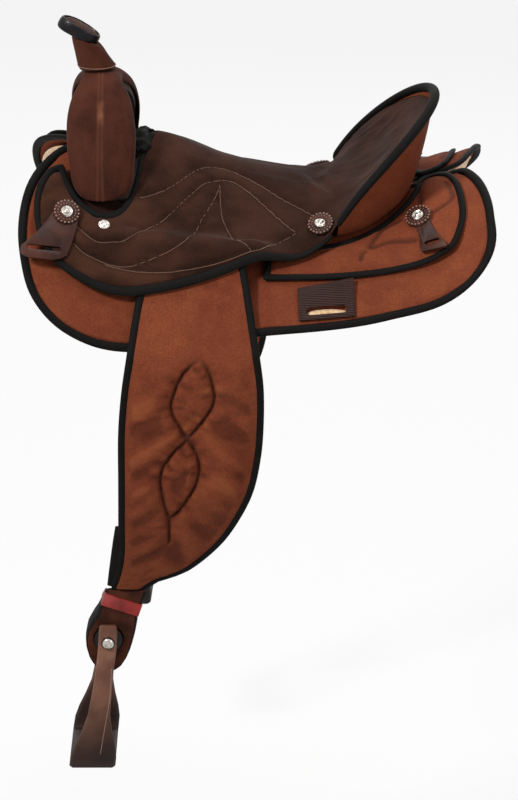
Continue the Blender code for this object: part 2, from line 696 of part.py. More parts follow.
def make_rear_jockey(side, tag):
    """The quilted rear jockey and its binding."""
    n, m = 20, 10
    outer, inner, panel = bound_panel(REAR_EDGES, n, m, REAR_BINDING)
    quilts = [chain(q, 12) for q in REAR_QUILTS]

    def lay(point, rise):
        return on_flank(point.x, point.y, rise, side)

    high = []
    for i, row in enumerate(panel):
        line = []
        for j, point in enumerate(row):
            edge = min(i, n - i, j, m - j)
            shown = smoothstep(110.0, 165.0, point.x)
            puff = REAR_JOCKEY_CROWN * (1.0 - math.exp(-edge / 1.4)) * shown
            dip = QUILT_DEPTH * sewn(point, quilts) * min(1.0, edge / 2)
            line.append(lay(point, REAR_TOP + max(0.0, puff - dip)))
        high.append(line)
    low = [[lay(p, REAR_BOTTOM) for p in row] for row in panel]
    jockey = plate("rear_jockey_" + tag, low, high, "cordura", (2, 2))
    highs = [REAR_TOP + BINDING_PROUD] * len(outer)
    edge = swept("rear_jockey_binding_" + tag, roll(outer, inner, lay, REAR_BOTTOM, highs),
                 "binding", True)
    return [jockey, edge]


def seat_edges():
    """The seat's outline in plan, from the centreline round the cut-out and along the flap."""
    return [chain(CUT_OUT[::-1], 10), chain(SEAT_FRONT, 10), chain(SEAT_LOW, 10), chain(SEAT_TAIL, 7)]


def seat_grid():
    """Plan points of half the seat; rows from i = SEAT_SPLIT on start on the centreline."""
    inner = drawn_in(seat_edges(), SEAT_BINDING, False, -1.0)
    cut_out, front, low, tail = drawn_in(inner, SEAT_BINDING_GAP, False, -1.0)
    low = low + tail[1:]
    cut_out[0].y = 0.0
    rim = [Vector((CANTLE_CENTRE + DISH_RADIUS * math.cos(a), DISH_RADIUS * math.sin(a)))
           for a in (math.radians(between(RIM_SPREAD_DEGREES, 0.0, k / 17)) for k in range(1, 18))]
    low += rim[:7]
    rear = rim[6:][::-1]
    top = cut_out[::-1] + chain((cut_out[0], rear[0]), 14)[1:]
    return filled(top, low, front, rear)


def seat_place(grid, i, j, rise, side):
    """A point of the seat's grid, drawn up at its rim to meet the cantle's roll."""
    n, m = len(grid) - 1, len(grid[0]) - 1
    point = grid[i][j]
    along = smoothstep(n - 8, n - 6, i)
    share = min(1.0, along * smoothstep(m - 5, m, j) + smoothstep(n - 4, n, i))
    goal = rim_height(point.x) - RIM_ROLL_RADIUS * 0.4 - seat_height(*point)
    at_rim = i == n or (j == m and i > n - 8)
    if at_rim:
        place = on_seat(point, 0.0, side)
        place.z += rise * SEAT_SKIVE
    else:
        place = on_seat(point, rise, side)
    place.z += goal * share
    return place


def make_seat():
    """The suede seat: flaps, padded middle and the dish up to the cantle rim, in one piece."""
    grid = seat_grid()
    n, m = len(grid) - 1, len(grid[0]) - 1
    build = bmesh.new()
    made = {}

    def spot(side, i, j, rise):
        key = (1 if j == 0 and i >= SEAT_SPLIT else side, i, j, rise)
        if key not in made:
            made[key] = build.verts.new(seat_place(grid, i, j, rise, side))
        return made[key]

    for side in (-1, 1):
        for i in range(n):
            for j in range(m):
                for rise in (0.0, -SEAT_THICK):
                    a, b, c, d = (spot(side, *k, rise) for k in
                                  ((i, j), (i + 1, j), (i + 1, j + 1), (i, j + 1)))
                    build.faces.new((a, b, c))
                    build.faces.new((a, c, d))
        rim = [(i, 0) for i in range(SEAT_SPLIT, 0, -1)] + [(0, j) for j in range(m)]
        rim += [(i, m) for i in range(n)] + [(n, j) for j in range(m, -1, -1)]
        for a, b in zip(rim, rim[1:]):
            top, under = spot(side, *a, 0.0), spot(side, *a, -SEAT_THICK)
            next_top, next_under = spot(side, *b, 0.0), spot(side, *b, -SEAT_THICK)
            build.faces.new((top, under, next_top))
            build.faces.new((under, next_under, next_top))
    return put("seat_cover", build, "suede")


def make_seat_binding(side, tag):
    """The rolled edge from the hand hole round the cut-out and along the flap to the rim."""
    edges = seat_edges()
    outer, inner = ([p for edge in lap for p in edge[:-1]] + lap[-1][-1:]
                    for lap in (edges, drawn_in(edges, SEAT_BINDING, False, -1.0)))
    for line in (outer, inner):
        line[0].y = SEAT_BINDING_END
    inner[-1] = inner[-1].lerp(outer[-1], TAIL_END_SHARE)

    def lay(point, rise):
        return on_seat(point, rise, side)

    highs = [BINDING_PROUD] * len(outer)
    return swept("seat_binding_" + tag, roll(outer, inner, lay, -SEAT_THICK, highs), "binding")


def make_ground_seat():
    """The stiff shell that the suede is laid over, carried on the bars."""
    grid = seat_grid()
    depth = SEAT_THICK + CLEARANCE
    low, high = [], []
    for i in range(SHELL_ROWS[0], SHELL_ROWS[1] + 1):
        for rows, rise in ((low, -depth - SHELL_THICK), (high, -depth)):
            near = [seat_place(grid, i, j, rise, -1) for j in range(SHELL_COLUMNS, 0, -1)]
            off = [seat_place(grid, i, j, rise, 1) for j in range(SHELL_COLUMNS + 1)]
            rows.append(near + off)
    plate("ground_seat", low, high, "leather", mirrored=SHELL_COLUMNS)


def make_bar(side, tag):
    """One bar of the tree, from under the fork to inside the cantle."""
    n, m = 16, 4
    low, high = [], []
    for i in range(n + 1):
        x = between(BAR_FRONT, CANTLE_CENTRE + BAR_REACH * BAR_END_SHARE, i / n)
        outer = BAR_OUTER
        if x < BAR_WAIST_RUN[0]:
            outer = BAR_WAIST - BAR_NOSE_NARROWS * smoothstep(BAR_NOSE_START, BAR_FRONT, x)
        elif x < BAR_WAIST_RUN[1]:
            outer = between(BAR_WAIST, BAR_OUTER, smoothstep(*BAR_WAIST_RUN, x))
        if x > CANTLE_CENTRE - BAR_CANTLE_LEAD:
            bend = max(0.0, x - CANTLE_CENTRE)
            outer = min(outer, math.sqrt(max(1.0, BAR_REACH**2 - bend**2)))
        outer = max(outer, BAR_INNER + BAR_LEAST_WIDTH)
        low.append([Vector((x, side * out, flank_height(x, out, SKIRT_TOP + 2 * CLEARANCE)))
                    for out in (between(BAR_INNER, outer, j / m) for j in range(m + 1))])
        high.append([Vector((x, side * out, bar_top(x, out)))
                     for out in (between(BAR_INNER, outer, j / m) for j in range(m + 1))])
    plate("tree_bar_" + tag, low, high, "wood")


def make_cantle():
    """The tree's cantle, its cordura back and the rolled rim."""
    foot_rise = SKIRT_TOP + BINDING_PROUD + CLEARANCE
    sections = []
    for k in range(17):
        angle = math.radians(between(-TREE_CANTLE_SPREAD_DEGREES, TREE_CANTLE_SPREAD_DEGREES, k / 16))
        section = []
        for radius, top in ((TREE_CANTLE_INNER, False), (TREE_CANTLE_INNER, True),
                            (TREE_CANTLE_TOP, True), (TREE_CANTLE_OUTER, False)):
            x = CANTLE_CENTRE + radius * math.cos(angle)
            out = radius * math.sin(angle)
            height = under_seat(x, out, SEAT_THICK + 2 * CLEARANCE) if top \
                else flank_height(x, out, foot_rise)
            section.append(Vector((x, out, height)))
        sections.append(section)
    swept("tree_cantle", sections, "wood")

    low, high, roll_rows = [], [], []
    for k in range(25):
        angle = math.radians(between(-RIM_SPREAD_DEGREES, RIM_SPREAD_DEGREES, k / 24))
        way = Vector((math.cos(angle), math.sin(angle), 0.0))
        middle = Vector((CANTLE_CENTRE, 0.0, 0.0))
        foot = middle + way * CANTLE_FOOT_RADIUS
        foot.z = flank_height(foot.x, foot.y, foot_rise)
        rim = middle + way * RIM_CENTRE_RADIUS
        rim.z = rim_height(middle.x + CANTLE_RADIUS * way.x) - RIM_ROLL_RADIUS * 0.5
        along = rim - foot
        top = foot + along * (1.0 - (RIM_ROLL_RADIUS + 3 * CLEARANCE) / along.length)
        outwards = Vector((along.z * way.x, along.z * way.y, -along.dot(way))).normalized()
        low.append([foot.lerp(top, j / 4)
                    - outwards * between(CANTLE_BACK_THICK, CANTLE_BACK_SKIVE, j / 4)
                    for j in range(5)])
        high.append([foot.lerp(top, j / 4) + outwards * CANTLE_BACK_BULGE * math.sin(math.pi * j / 4)
                     for j in range(5)])
        up = Vector((0.0, 0.0, 1.0))
        roll_rows.append([rim + (way * math.cos(turn) + up * math.sin(turn)) * RIM_ROLL_RADIUS
                          for turn in (2 * math.pi * (j + 0.5) / 8 for j in range(8))])
    plate("cantle_back", low, high, "cordura", (1, 1))
    swept("cantle_binding", roll_rows, "binding")


def arch(count):
    """count + 1 places down the fork's arch: how far out, how high, half width and way out."""
    line = chain(FORK_ARCH, count)
    result = []
    for k, here in enumerate(line):
        run = line[min(count, k + 1)] - line[max(0, k - 1)]
        away = Vector((0.0, 1.0)) if k == 0 else Vector((-run.y, run.x)).normalized()
        result.append((here, away))
    return result


def make_fork():
    """The tree's fork and the suede cover drawn over it."""
    steps = 12
    places = arch(steps)
    shoulder, fall = FORK_SHOULDER, FORK_CROWN * FORK_SHOULDER_FALL
    crown = ((-1.0, FORK_CROWN), (-shoulder, fall), (0.0, 0.0), (shoulder, fall), (1.0, FORK_CROWN))
    cover, core = [], []
    for k in range(-steps, steps + 1):
        side = -1 if k < 0 else 1
        here, out = places[abs(k)]
        place = Vector((FORK_STATION, side * here.x, here.y))
        away = Vector((0.0, side * out.x, out.y))
        half = here.z
        deep = min(FORK_COVER_DEEP, half + 6.0)

        def ring(half, depth, deep, place=place, away=away):
            row = [place + Vector((u * half, 0, 0)) - away * (depth + d) for u, d in crown]
            return [place + Vector((-half, 0, 0)) - away * deep] + row \
                + [place + Vector((half, 0, 0)) - away * deep]

        cover.append(ring(half, 0.0, deep) + ring(half - FORK_COVER_THICK, FORK_COVER_THICK, deep)[::-1])
        if abs(k) <= FORK_CORE_STEPS:
            gap = FORK_COVER_THICK + FORK_CORE_GAP
            core.append(ring(half - gap, gap, gap + FORK_CORE_THICK))
    for row in (core[0], core[-1]):
        share = FORK_FOOT_HALF / (row[-1].x - FORK_STATION)
        for point in row:
            point.x = FORK_STATION + (point.x - FORK_STATION) * share
            point.y *= FORK_FOOT_TUCK
            point.z = bar_top(point.x, abs(point.y)) + CLEARANCE * 3
    swept("swell_cover", cover, "leather")
    swept("tree_fork", core, "wood")


def make_horn():
    """Neck wrap, leather cap and the rolled band round the cap."""
    tilt = math.radians(HORN_CAP_TILT)
    up = Vector((math.sin(tilt), 0.0, math.cos(tilt)))
    back = Vector((math.cos(tilt), 0.0, -math.sin(tilt)))
    centre = Vector((HORN_CAP_STATION, 0.0, HORN_CAP_HEIGHT))
    below = centre - up * (HORN_CAP_THICK / 2 + CLEARANCE)
    turns = 14
    rings = []

    def foot(x, y):
        reach = abs(x - FORK_STATION) / FORK_ARCH[0][2]
        steep = (1.0 - FORK_SHOULDER_FALL) / (1.0 - FORK_SHOULDER)
        fall = FORK_SHOULDER_FALL + steep * (reach - FORK_SHOULDER)
        fall = FORK_CROWN * max(FORK_SHOULDER_FALL * reach, min(1.0, fall))
        return FORK_ARCH[0][1] - fall - HORN_FOOT_FALL * (y / HORN_FOOT_RADIUS)**2 + HORN_FOOT_RISE

    for share, reach in ((0.0, 0.3), (0.0, 0.6), (0.0, 1.0), (0.3, 1.0), (0.65, 1.0), (1.0, 1.0)):
        ring = []
        for k in range(turns):
            angle = 2 * math.pi * k / turns
            radius = reach * between(HORN_FOOT_RADIUS, HORN_NECK_RADIUS, share**0.8)
            x = between(HORN_FOOT_STATION, HORN_NECK_STATION, share) + radius * math.cos(angle)
            y = radius * math.sin(angle)
            roof = below.z - (x - below.x) * up.x / up.z
            ring.append(Vector((x, y, between(foot(x, y), roof, share))))
        rings.append(ring)
    swept("horn_neck", rings, "leather")
    frame = frame_of(back, Vector((0.0, 1.0, 0.0)), up, centre)
    half = HORN_CAP_THICK / 2
    turned("horn_cap", ((0, -half), (HORN_CAP_RADIUS - 2, -half), (HORN_CAP_RADIUS, -half + 2),
                        (HORN_CAP_RADIUS, half - 2), (HORN_CAP_RADIUS - 3, half), (0, half + 1.5)),
           frame, "leather", 20)
    bore = HORN_CAP_RADIUS + CLEARANCE
    turned("horn_band", ((bore, -half), (bore + HORN_BAND_THICK * 0.6, -half),
                         (bore + HORN_BAND_THICK, -half * 0.4), (bore + HORN_BAND_THICK, half * 0.4),
                         (bore + HORN_BAND_THICK * 0.6, half), (bore, half)),
           frame, "binding", 20)


def plate_point(x, up, rise, side):
    """A point of the fender's upper plate: above the fold, rise out from its outer face."""
    out = FENDER_HANG - up * math.cos(SLOPE) + rise * math.sin(SLOPE)
    return Vector((x, side * out, FOLD_HEIGHT + up * math.sin(SLOPE) + rise * math.cos(SLOPE)))


def panel_point(x, up, rise, side):
    """A point of the hanging panel: height from the fold, rise out from its outer face."""
    return Vector((x, side * (FENDER_HANG + rise), FOLD_HEIGHT + up))


def make_fender(side, tag):
    """Upper plate, hanging quilted panel and its binding, on their pivots."""
    swing = pivot_empty("swing_" + tag, plate_point(SWING_PIVOT_STATION, SWING_PIVOT_UP,
                                                    -FENDER_THICK / 2, side))
    edges = [chain(e, c) for e, c in zip((PLATE_TOP, (PLATE_LEFT[-1], PLATE_RIGHT[-1]),
                                          PLATE_LEFT, PLATE_RIGHT), (8, 8, 5, 5))]
    grid = filled(*edges)
    low = [[plate_point(p.x, p.y + (FOLD_MITRE if j == 5 else 0.0) + FENDER_FOLD_GAP,
                        -FENDER_THICK, side) for j, p in enumerate(row)] for row in grid]
    high = [[plate_point(p.x, p.y + FENDER_FOLD_GAP, 0.0, side) for p in row] for row in grid]
    plate("fender_top_" + tag, low, high, "cordura", (1, 1), swing)

    lift = pivot_empty("lift_" + tag, panel_point(BOLT_STATION, 0.0, 0.0, side), swing)
    n, m = 28, 12
    left, right = chain(FENDER_LEFT, n), chain(FENDER_RIGHT, n)
    path = left + chain((left[-1], right[-1]), m)[1:] + right[:-1][::-1]

    def sides(width):
        """The left, bottom and right edges, width in from the sides and a little from below."""
        rows = [inset(left, width, closed=False), inset(right, width, closed=False, hand=-1.0)]
        for k, row in enumerate(rows):
            row[0].y = 0.0
            row[-1].y = left[-1].y + width * FENDER_END_SHARE
            rows[k] = evened(row, width)
        return rows[0], chain((rows[0][-1], rows[1][-1]), m), rows[1]

    a, b, c = sides(FENDER_BINDING)
    inner = a + b[1:] + c[:-1][::-1]
    a, b, c = sides(FENDER_BINDING + CLEARANCE)
    panel = filled(a, c, chain((a[0], c[0]), m), b)
    leaves = [chain(leaf, 24) for leaf in FENDER_LEAVES]
    low, high = [], []
    for i, row in enumerate(panel):
        low_row, high_row = [], []
        for j, point in enumerate(row):
            edge = min(n - i, j, m - j)
            puff = FENDER_CROWN * (1.0 - math.exp(-edge / 1.6)) * smoothstep(6.0, 50.0, -point.y)
            dip = QUILT_DEPTH * sewn(point, leaves) * smoothstep(0.0, 30.0, -point.y)
            drop = -FENDER_FOLD_GAP - (FOLD_MITRE if i == 0 else 0.0)
            low_row.append(panel_point(point.x, point.y + drop, -FENDER_THICK, side))
            high_row.append(panel_point(point.x, point.y - FENDER_FOLD_GAP,
                                        max(-0.5, puff - dip), side))
        low.append(low_row)
        high.append(high_row)
    plate("fender_" + tag, low, high, "cordura", (4, 4), lift)

    sections = []
    for k, (edge, within) in enumerate(zip(path, inner)):
        mitre = FOLD_MITRE / FENDER_THICK if k in (0, len(path) - 1) else 0.0
        sections.append([panel_point(p.x, p.y - FENDER_FOLD_GAP + mitre * rise, rise, side)
                         for p, rise in ((within, -FENDER_THICK), (within, -ROLL_DIP),
                                         (within.lerp(edge, 0.5), 0.0), (edge, -FENDER_THICK / 2))])
    swept("fender_binding_" + tag, sections, "binding", parent=lift)
    return swing, lift


def neck_corner(side, share, right, outer, grow=0.0):
    """A corner of the neck at a share of its height, from the fender's end to the loop."""
    top_x = FENDER_RIGHT[-1][0] if right else FENDER_LEFT[-1][0]
    low_x = LOOP_OUTER[-1][0] if right else LOOP_OUTER[0][0]
    x = between(top_x, low_x, share) + (grow if right else -grow)
    half = between(NECK_THICK, LOOP_WIDTH, share) / 2 + grow
    middle = FENDER_HANG - FENDER_THICK / 2
    height = between(FENDER_LEFT[-1][1] - CLEARANCE * 2, LOOP_OUTER[0][1], share)
    return Vector((x, side * (middle + (half if outer else -half)), FOLD_HEIGHT + height))


def make_neck(side, tag, lift):
    """The neck that closes round the stirrup's sleeve, and the hobble strap that binds it."""
    outline = chain(LOOP_OUTER, 15)
    corner = len(outline) - 1
    outline += chain((outline[-1], outline[0]), 4)[1:-1]
    bolt = Vector((BOLT_STATION, -BOLT_DROP))
    radius = SLEEVE_RADIUS + LOOP_CLEARANCE
    middle = FENDER_HANG - FENDER_THICK / 2
    build = bmesh.new()
    rows = []
    for out in (-LOOP_WIDTH / 2, LOOP_WIDTH / 2):
        outer, hole = [], []
        for point in outline:
            edge = bolt + (point - bolt).normalized() * radius
            outer.append(build.verts.new((point.x, side * (middle + out), FOLD_HEIGHT + point.y)))
            hole.append(build.verts.new((edge.x, side * (middle + out), FOLD_HEIGHT + edge.y)))
        rows.append((outer, hole))
    count = len(outline)
    for k in range(count):
        after = (k + 1) % count
        for outer, hole in rows:
            build.faces.new((outer[k], outer[after], hole[after], hole[k]))
        build.faces.new((rows[0][1][k], rows[0][1][after], rows[1][1][after], rows[1][1][k]))
        if k < corner:
            build.faces.new((rows[0][0][k], rows[0][0][after], rows[1][0][after], rows[1][0][k]))
    tops = [outer[corner:] + outer[:1] for outer, hole in rows]
    for share in (0.66, 0.33, 0.0):
        above = [[build.verts.new(neck_corner(side, share, right, outer)) for right in (True, False)]
                 for outer in (False, True)]
        build.faces.new(tops[0] + above[0][::-1])
        build.faces.new(tops[1] + above[1][::-1])
        build.faces.new((tops[0][0], tops[1][0], above[1][0], above[0][0]))
        build.faces.new((tops[0][-1], tops[1][-1], above[1][-1], above[0][-1]))
        tops = above
    build.faces.new(tops[0] + tops[1][::-1])
    put("stirrup_leather_" + tag, build, "cordura", lift)

    fold_ends = (FENDER_LEFT[-1][1] - CLEARANCE * 2, LOOP_OUTER[0][1])
    build = bmesh.new()
    rings = []
    for grow, edge in ((CLEARANCE * 2, 0.5), (CLEARANCE * 2, -0.5),
                       (CLEARANCE * 2 + HOBBLE_THICK, -0.5), (CLEARANCE * 2 + HOBBLE_THICK, 0.5)):
        ring = []
        for right, outer in ((False, False), (True, False), (True, True), (False, True)):
            lean = HOBBLE_SLANT * (25.0 if right else -25.0)
            height = HOBBLE_MIDDLE + lean + edge * HOBBLE_HEIGHT
            share = (fold_ends[0] - height) / (fold_ends[0] - fold_ends[1])
            ring.append(build.verts.new(neck_corner(side, share, right, outer, grow)))
        rings.append(ring)
    for a, b in zip(rings, rings[1:] + rings[:1]):
        for k in range(4):
            build.faces.new((a[k], a[(k + 1) % 4], b[(k + 1) % 4], b[k]))
    put("hobble_strap_" + tag, build, "red_leather", lift)


def make_stirrup(side, tag, lift):
    """Stirrup frame, tread pad and bolt, hanging from the loop."""
    middle = side * (FENDER_HANG - FENDER_THICK / 2)
    centre = Vector((BOLT_STATION, middle, FOLD_HEIGHT - BOLT_DROP))
    pivot = pivot_empty("bolt_" + tag, centre, lift)
    half = BRANCH_THICK / 2

    def section(drop, spread, depth, normal):
        mid = centre + Vector((-STIRRUP_LEAN * max(0.0, drop), spread, -drop))
        return [mid + Vector((u * depth, 0, 0)) + normal * (w * half)
                for u, w in ((-1.0, 0.0), (-0.85, -1.0), (0.85, -1.0), (1.0, 0.0), (0.85, 1.0),
                             (-0.85, 1.0))]

    path = [(d, s, w) for d, s, w in BRANCH_PATH]
    last = path[-1][1]
    path.append((TREAD_DROP - TREAD_CORNER * 0.3, last - TREAD_CORNER * 0.3, TREAD_HALF_DEPTH))
    path.append((TREAD_DROP, last - TREAD_CORNER, TREAD_HALF_DEPTH))
    path += [(TREAD_DROP, last * 0.33, TREAD_HALF_DEPTH)]
    whole = path + [(d, -s, w) for d, s, w in path[::-1]]
    sections = []
    for k, (drop, spread, depth) in enumerate(whole):
        a, b = whole[max(0, k - 1)], whole[min(len(whole) - 1, k + 1)]
        run = Vector((0.0, b[1] - a[1], -(b[0] - a[0])))
        normal = Vector((0.0, -run.z, run.y)).normalized()
        sections.append(section(drop, spread, depth, normal))
    frame = swept("stirrup_frame_" + tag, sections, "stirrup", parent=pivot)
    axis = frame_of(Vector((1, 0, 0)), Vector((0, 0, 1)), Vector((0, -1, 0)), centre)
    reach = path[0][1] + half + 2.0
    bore = turned("bore_" + tag, ((0, -reach), (BOLT_RADIUS + CLEARANCE, -reach),
                                  (BOLT_RADIUS + CLEARANCE, reach), (0, reach)), axis, "binding",
                  16, pivot)
    bore.hide_render = True
    bore.display_type = "WIRE"
    cut(frame, bore)
    pad_low, pad_high = [], []
    for k in range(3):
        out = (k - 1.0) * (last - TREAD_CORNER - 6.0)
        for rows, rise in ((pad_low, half + CLEARANCE), (pad_high, half + CLEARANCE + TREAD_PAD_THICK)):
            rows.append([centre + Vector((-STIRRUP_LEAN * TREAD_DROP + u * (TREAD_HALF_DEPTH - 2.0),
                                          out, -TREAD_DROP + rise)) for u in (-1.0, 1.0)])
    plate("stirrup_tread_" + tag, pad_low, pad_high, "dark_leather", (1, 1), pivot)
    face = path[0][1] + half + CLEARANCE
    sleeve = LOOP_WIDTH / 2 + 3.0
    profile = [(0, -face - BOLT_HEAD_RISE), (BOLT_HEAD_RADIUS * 0.7, -face - BOLT_HEAD_RISE * 0.75),
               (BOLT_HEAD_RADIUS, -face), (BOLT_RADIUS, -face), (BOLT_RADIUS, -sleeve),
               (SLEEVE_RADIUS, -sleeve)]
    profile += [(r, -h) for r, h in profile[::-1]]
    turned("stirrup_bolt_" + tag, profile, axis, "silver", 16, pivot)


def depth_under(frame, point, trees):
    """How far below a point of the frame's plane the nearest of the bodies lies."""
    out = frame.to_3x3() @ Vector((0, 0, 1))
    start = frame @ Vector((*point, 0.0)) + out * SEAT_SEARCH
    hits = [tree.ray_cast(start, -out, 2 * SEAT_SEARCH)[3] for tree in trees]
    return min([hit for hit in hits if hit is not None], default=2 * SEAT_SEARCH) - SEAT_SEARCH


def post_end(frame, trees):
    """Height of a concho post's end, just clear of the leather under it."""
    return CLEARANCE - min(depth_under(frame, p, trees) for p in disc_points(POST_RADIUS))


def seated(frame, outline, trees):
    """The frame moved along its third axis until the outline, turned up to DEE_TURN_DEGREES
    either way about its origin, just clears the bodies under it."""
    depth = 2 * SEAT_SEARCH
    for turn in (-1.0, -0.5, 0.0, 0.5, 1.0):
        swing = Matrix.Rotation(math.radians(turn * DEE_TURN_DEGREES), 2)
        for point in outline:
            depth = min(depth, depth_under(frame, swing @ Vector(point), trees))
    return frame @ Matrix.Translation((0.0, 0.0, CLEARANCE - depth))


def tree_of(body):
    """The faces of a finished body, in millimetres, for laying other pieces on it."""
    return BVHTree.FromPolygons([v.co / MM for v in body.data.vertices],
                                [f.vertices[:] for f in body.data.polygons])


def disc_points(radius, count=12):
    """Points over a disc, for finding what lies under it."""
    return [(radius * share * math.cos(2 * math.pi * k / count),
             radius * share * math.sin(2 * math.pi * k / count))
            for share in (0.25, 0.5, 0.75, 1.0) for k in range(count)]


def make_strap(name, place, frame, sides, slot, trees):
    """A slotted dee strap, flat on the leather, turning about its concho's screw."""
    shift = Vector((place[0], place[1], 0.0))
    frame = frame @ Matrix.Translation(shift)
    left, right = (chain(edge, 9) for edge in sides)
    outline = left + right[::-1]
    spine = [a.lerp(b, share) for a, b in zip(left, right) for share in (0.25, 0.5, 0.75)]
    frame = seated(frame, [*outline, *spine, *disc_points(ROSETTE_RADIUS)], trees)
    pivot = pivot_empty(name + "_screw", frame.translation)
    strap = swept(name, [[frame @ Vector((*p, h)) for p in outline] for h in (0.0, STRAP_THICK)],
                  "strap", parent=pivot)
    x, y, lean, length, width = slot
    slot_frame = frame @ Matrix.Translation((x, y, 0.0)) @ Matrix.Rotation(math.radians(lean), 4, "Z")
    cut(strap, slot_cutter(name + "_slot", slot_frame, length, width, STRAP_THICK * 2))
    hole = turned(name + "_hole",
                  ((0, -STRAP_THICK), (POST_RADIUS + CLEARANCE, -STRAP_THICK),
                   (POST_RADIUS + CLEARANCE, STRAP_THICK * 2), (0, STRAP_THICK * 2)),
                  frame, "binding", 12)
    hole.hide_render = True
    hole.display_type = "WIRE"
    cut(strap, hole)
    return frame


def make_concho(kind, tag, frame, base, post, radius=ROSETTE_RADIUS):
    """A scalloped rosette under a domed concho, whose post goes down to the leather below."""
    bore = POST_RADIUS + CLEARANCE
    if radius:
        build = bmesh.new()
        count = ROSETTE_SCALLOPS * 2
        rings = []
        face = base + ROSETTE_THICK
        for reach, height in ((bore, base), (radius, base), (radius - SCALLOP_DEPTH, face), (bore, face)):
            ring = []
            for k in range(count):
                angle = 2 * math.pi * k / count
                wide = reach - (SCALLOP_DEPTH * (k % 2) if reach > bore else 0.0)
                ring.append(build.verts.new(frame @ Vector((wide * math.cos(angle),
                                                            wide * math.sin(angle), height))))
            rings.append(ring)
        for a, b in zip(rings, rings[1:] + rings[:1]):
            for k in range(count):
                build.faces.new((a[k], a[(k + 1) % count], b[(k + 1) % count], b[k]))
        put(kind + "_rosette_" + tag, build, "strap")
        base += ROSETTE_THICK + CLEARANCE
    turned(kind + "_concho_" + tag,
           ((0, base + CONCHO_RISE), (CONCHO_RADIUS * 0.65, base + CONCHO_RISE * 0.8),
            (CONCHO_RADIUS, base + CONCHO_RISE * 0.2), (CONCHO_RADIUS, base),
            (POST_RADIUS, base), (POST_RADIUS, post), (0, post)), frame, "silver", 12)


def make_fittings(side, tag, skirt, seat, rear):
    """Dee straps, conchos and the rigging plate."""
    seat, rear = [tree_of(body) for body in seat], [tree_of(body) for body in rear]
    for kind, place, middle, edges, slot, trees in (
            ("front", FRONT_DEE_PLACE, FRONT_DEE_MIDDLE, FRONT_DEE_SIDES, FRONT_SLOT, seat),
            ("rear", REAR_DEE_PLACE, REAR_DEE_MIDDLE, REAR_DEE_SIDES, REAR_SLOT, rear)):
        frame = flank_frame(*middle, SEAT_TOP, side)
        offset = (place[0] - middle[0], place[1] - middle[1])
        screw = make_strap(kind + "_dee_" + tag, offset, frame, edges, slot, trees)
        make_concho(kind, tag, screw, STRAP_THICK + CLEARANCE,
                    post_end(screw, trees))

    for kind, plan, radius in (("seat", SEAT_CONCHO_PLACE, ROSETTE_RADIUS), ("screw", SCREW_PLACE, 0.0)):
        top = on_seat(plan, 0.0, side)
        out = (on_seat(plan, 1.0, side) - top).normalized()
        back = (Vector((0, 1, 0)).cross(out)).normalized()
        frame = frame_of(back, out.cross(back), out, top)
        frame = seated(frame, disc_points(radius or CONCHO_RADIUS), seat)
        make_concho(kind, tag, frame, 0.0, post_end(frame, seat), radius)

    frame = flank_frame(*RIG_PLACE, SKIRT_TOP, side)
    outline = [Vector((u * RIG_PLATE_LENGTH / 2, v * RIG_PLATE_HEIGHT / 2))
               for u, v in ((-1, -1), (1, -1), (1, 1), (-1, 1))]
    under = [outline[0].lerp(outline[1], a / 8) + (outline[3] - outline[0]) * (b / 6)
             for a in range(9) for b in range(7)]
    frame = frame @ Matrix.Translation((0.0, 0.0, CLEARANCE - min(
        depth_under(frame, p, [tree_of(skirt)]) for p in under)))
    rigging = swept("rigging_plate_" + tag,
                    [[frame @ Vector((*p, h)) for p in outline] for h in (0.0, RIG_PLATE_THICK)],
                    "leather")
    slot_frame = frame @ Matrix.Translation((0.0, RIG_SLOT_DROP, 0.0))
    cutter = slot_cutter("rig_slot_" + tag, slot_frame, RIG_SLOT_LENGTH, RIG_SLOT_HEIGHT,
                         SKIRT_THICK + CLEARANCE)
    cut(rigging, cutter)
    cut(skirt, cutter)


def clear_scene():
    for body in list(bpy.data.objects):
        bpy.data.objects.remove(body, do_unlink=True)


def build_saddle():
    clear_scene()
    seat = make_seat()
    make_ground_seat()
    make_cantle()
    make_fork()
    make_horn()
    for side, tag in SIDES:
        make_bar(side, tag)
        skirt, skirt_edge = make_skirt(side, tag)
        rear = make_rear_jockey(side, tag)
        seat_edge = make_seat_binding(side, tag)
        swing, lift = make_fender(side, tag)
        make_neck(side, tag, lift)
        make_stirrup(side, tag, lift)
        make_fittings(side, tag, skirt, [seat, seat_edge], [*rear, skirt, skirt_edge])
        if tag == "off":
            across = Vector((0.0, math.sin(SLOPE), math.cos(SLOPE)))
            turn = Matrix.Rotation(math.radians(-OFF_SWING_DEGREES), 4, across)
            swing.rotation_euler = turn.to_euler()


build_saddle()
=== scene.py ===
import json
import math

import bmesh
import bpy
import numpy as np
from mathutils import Matrix, Vector, noise
from mathutils.bvhtree import BVHTree
from mathutils.kdtree import KDTree


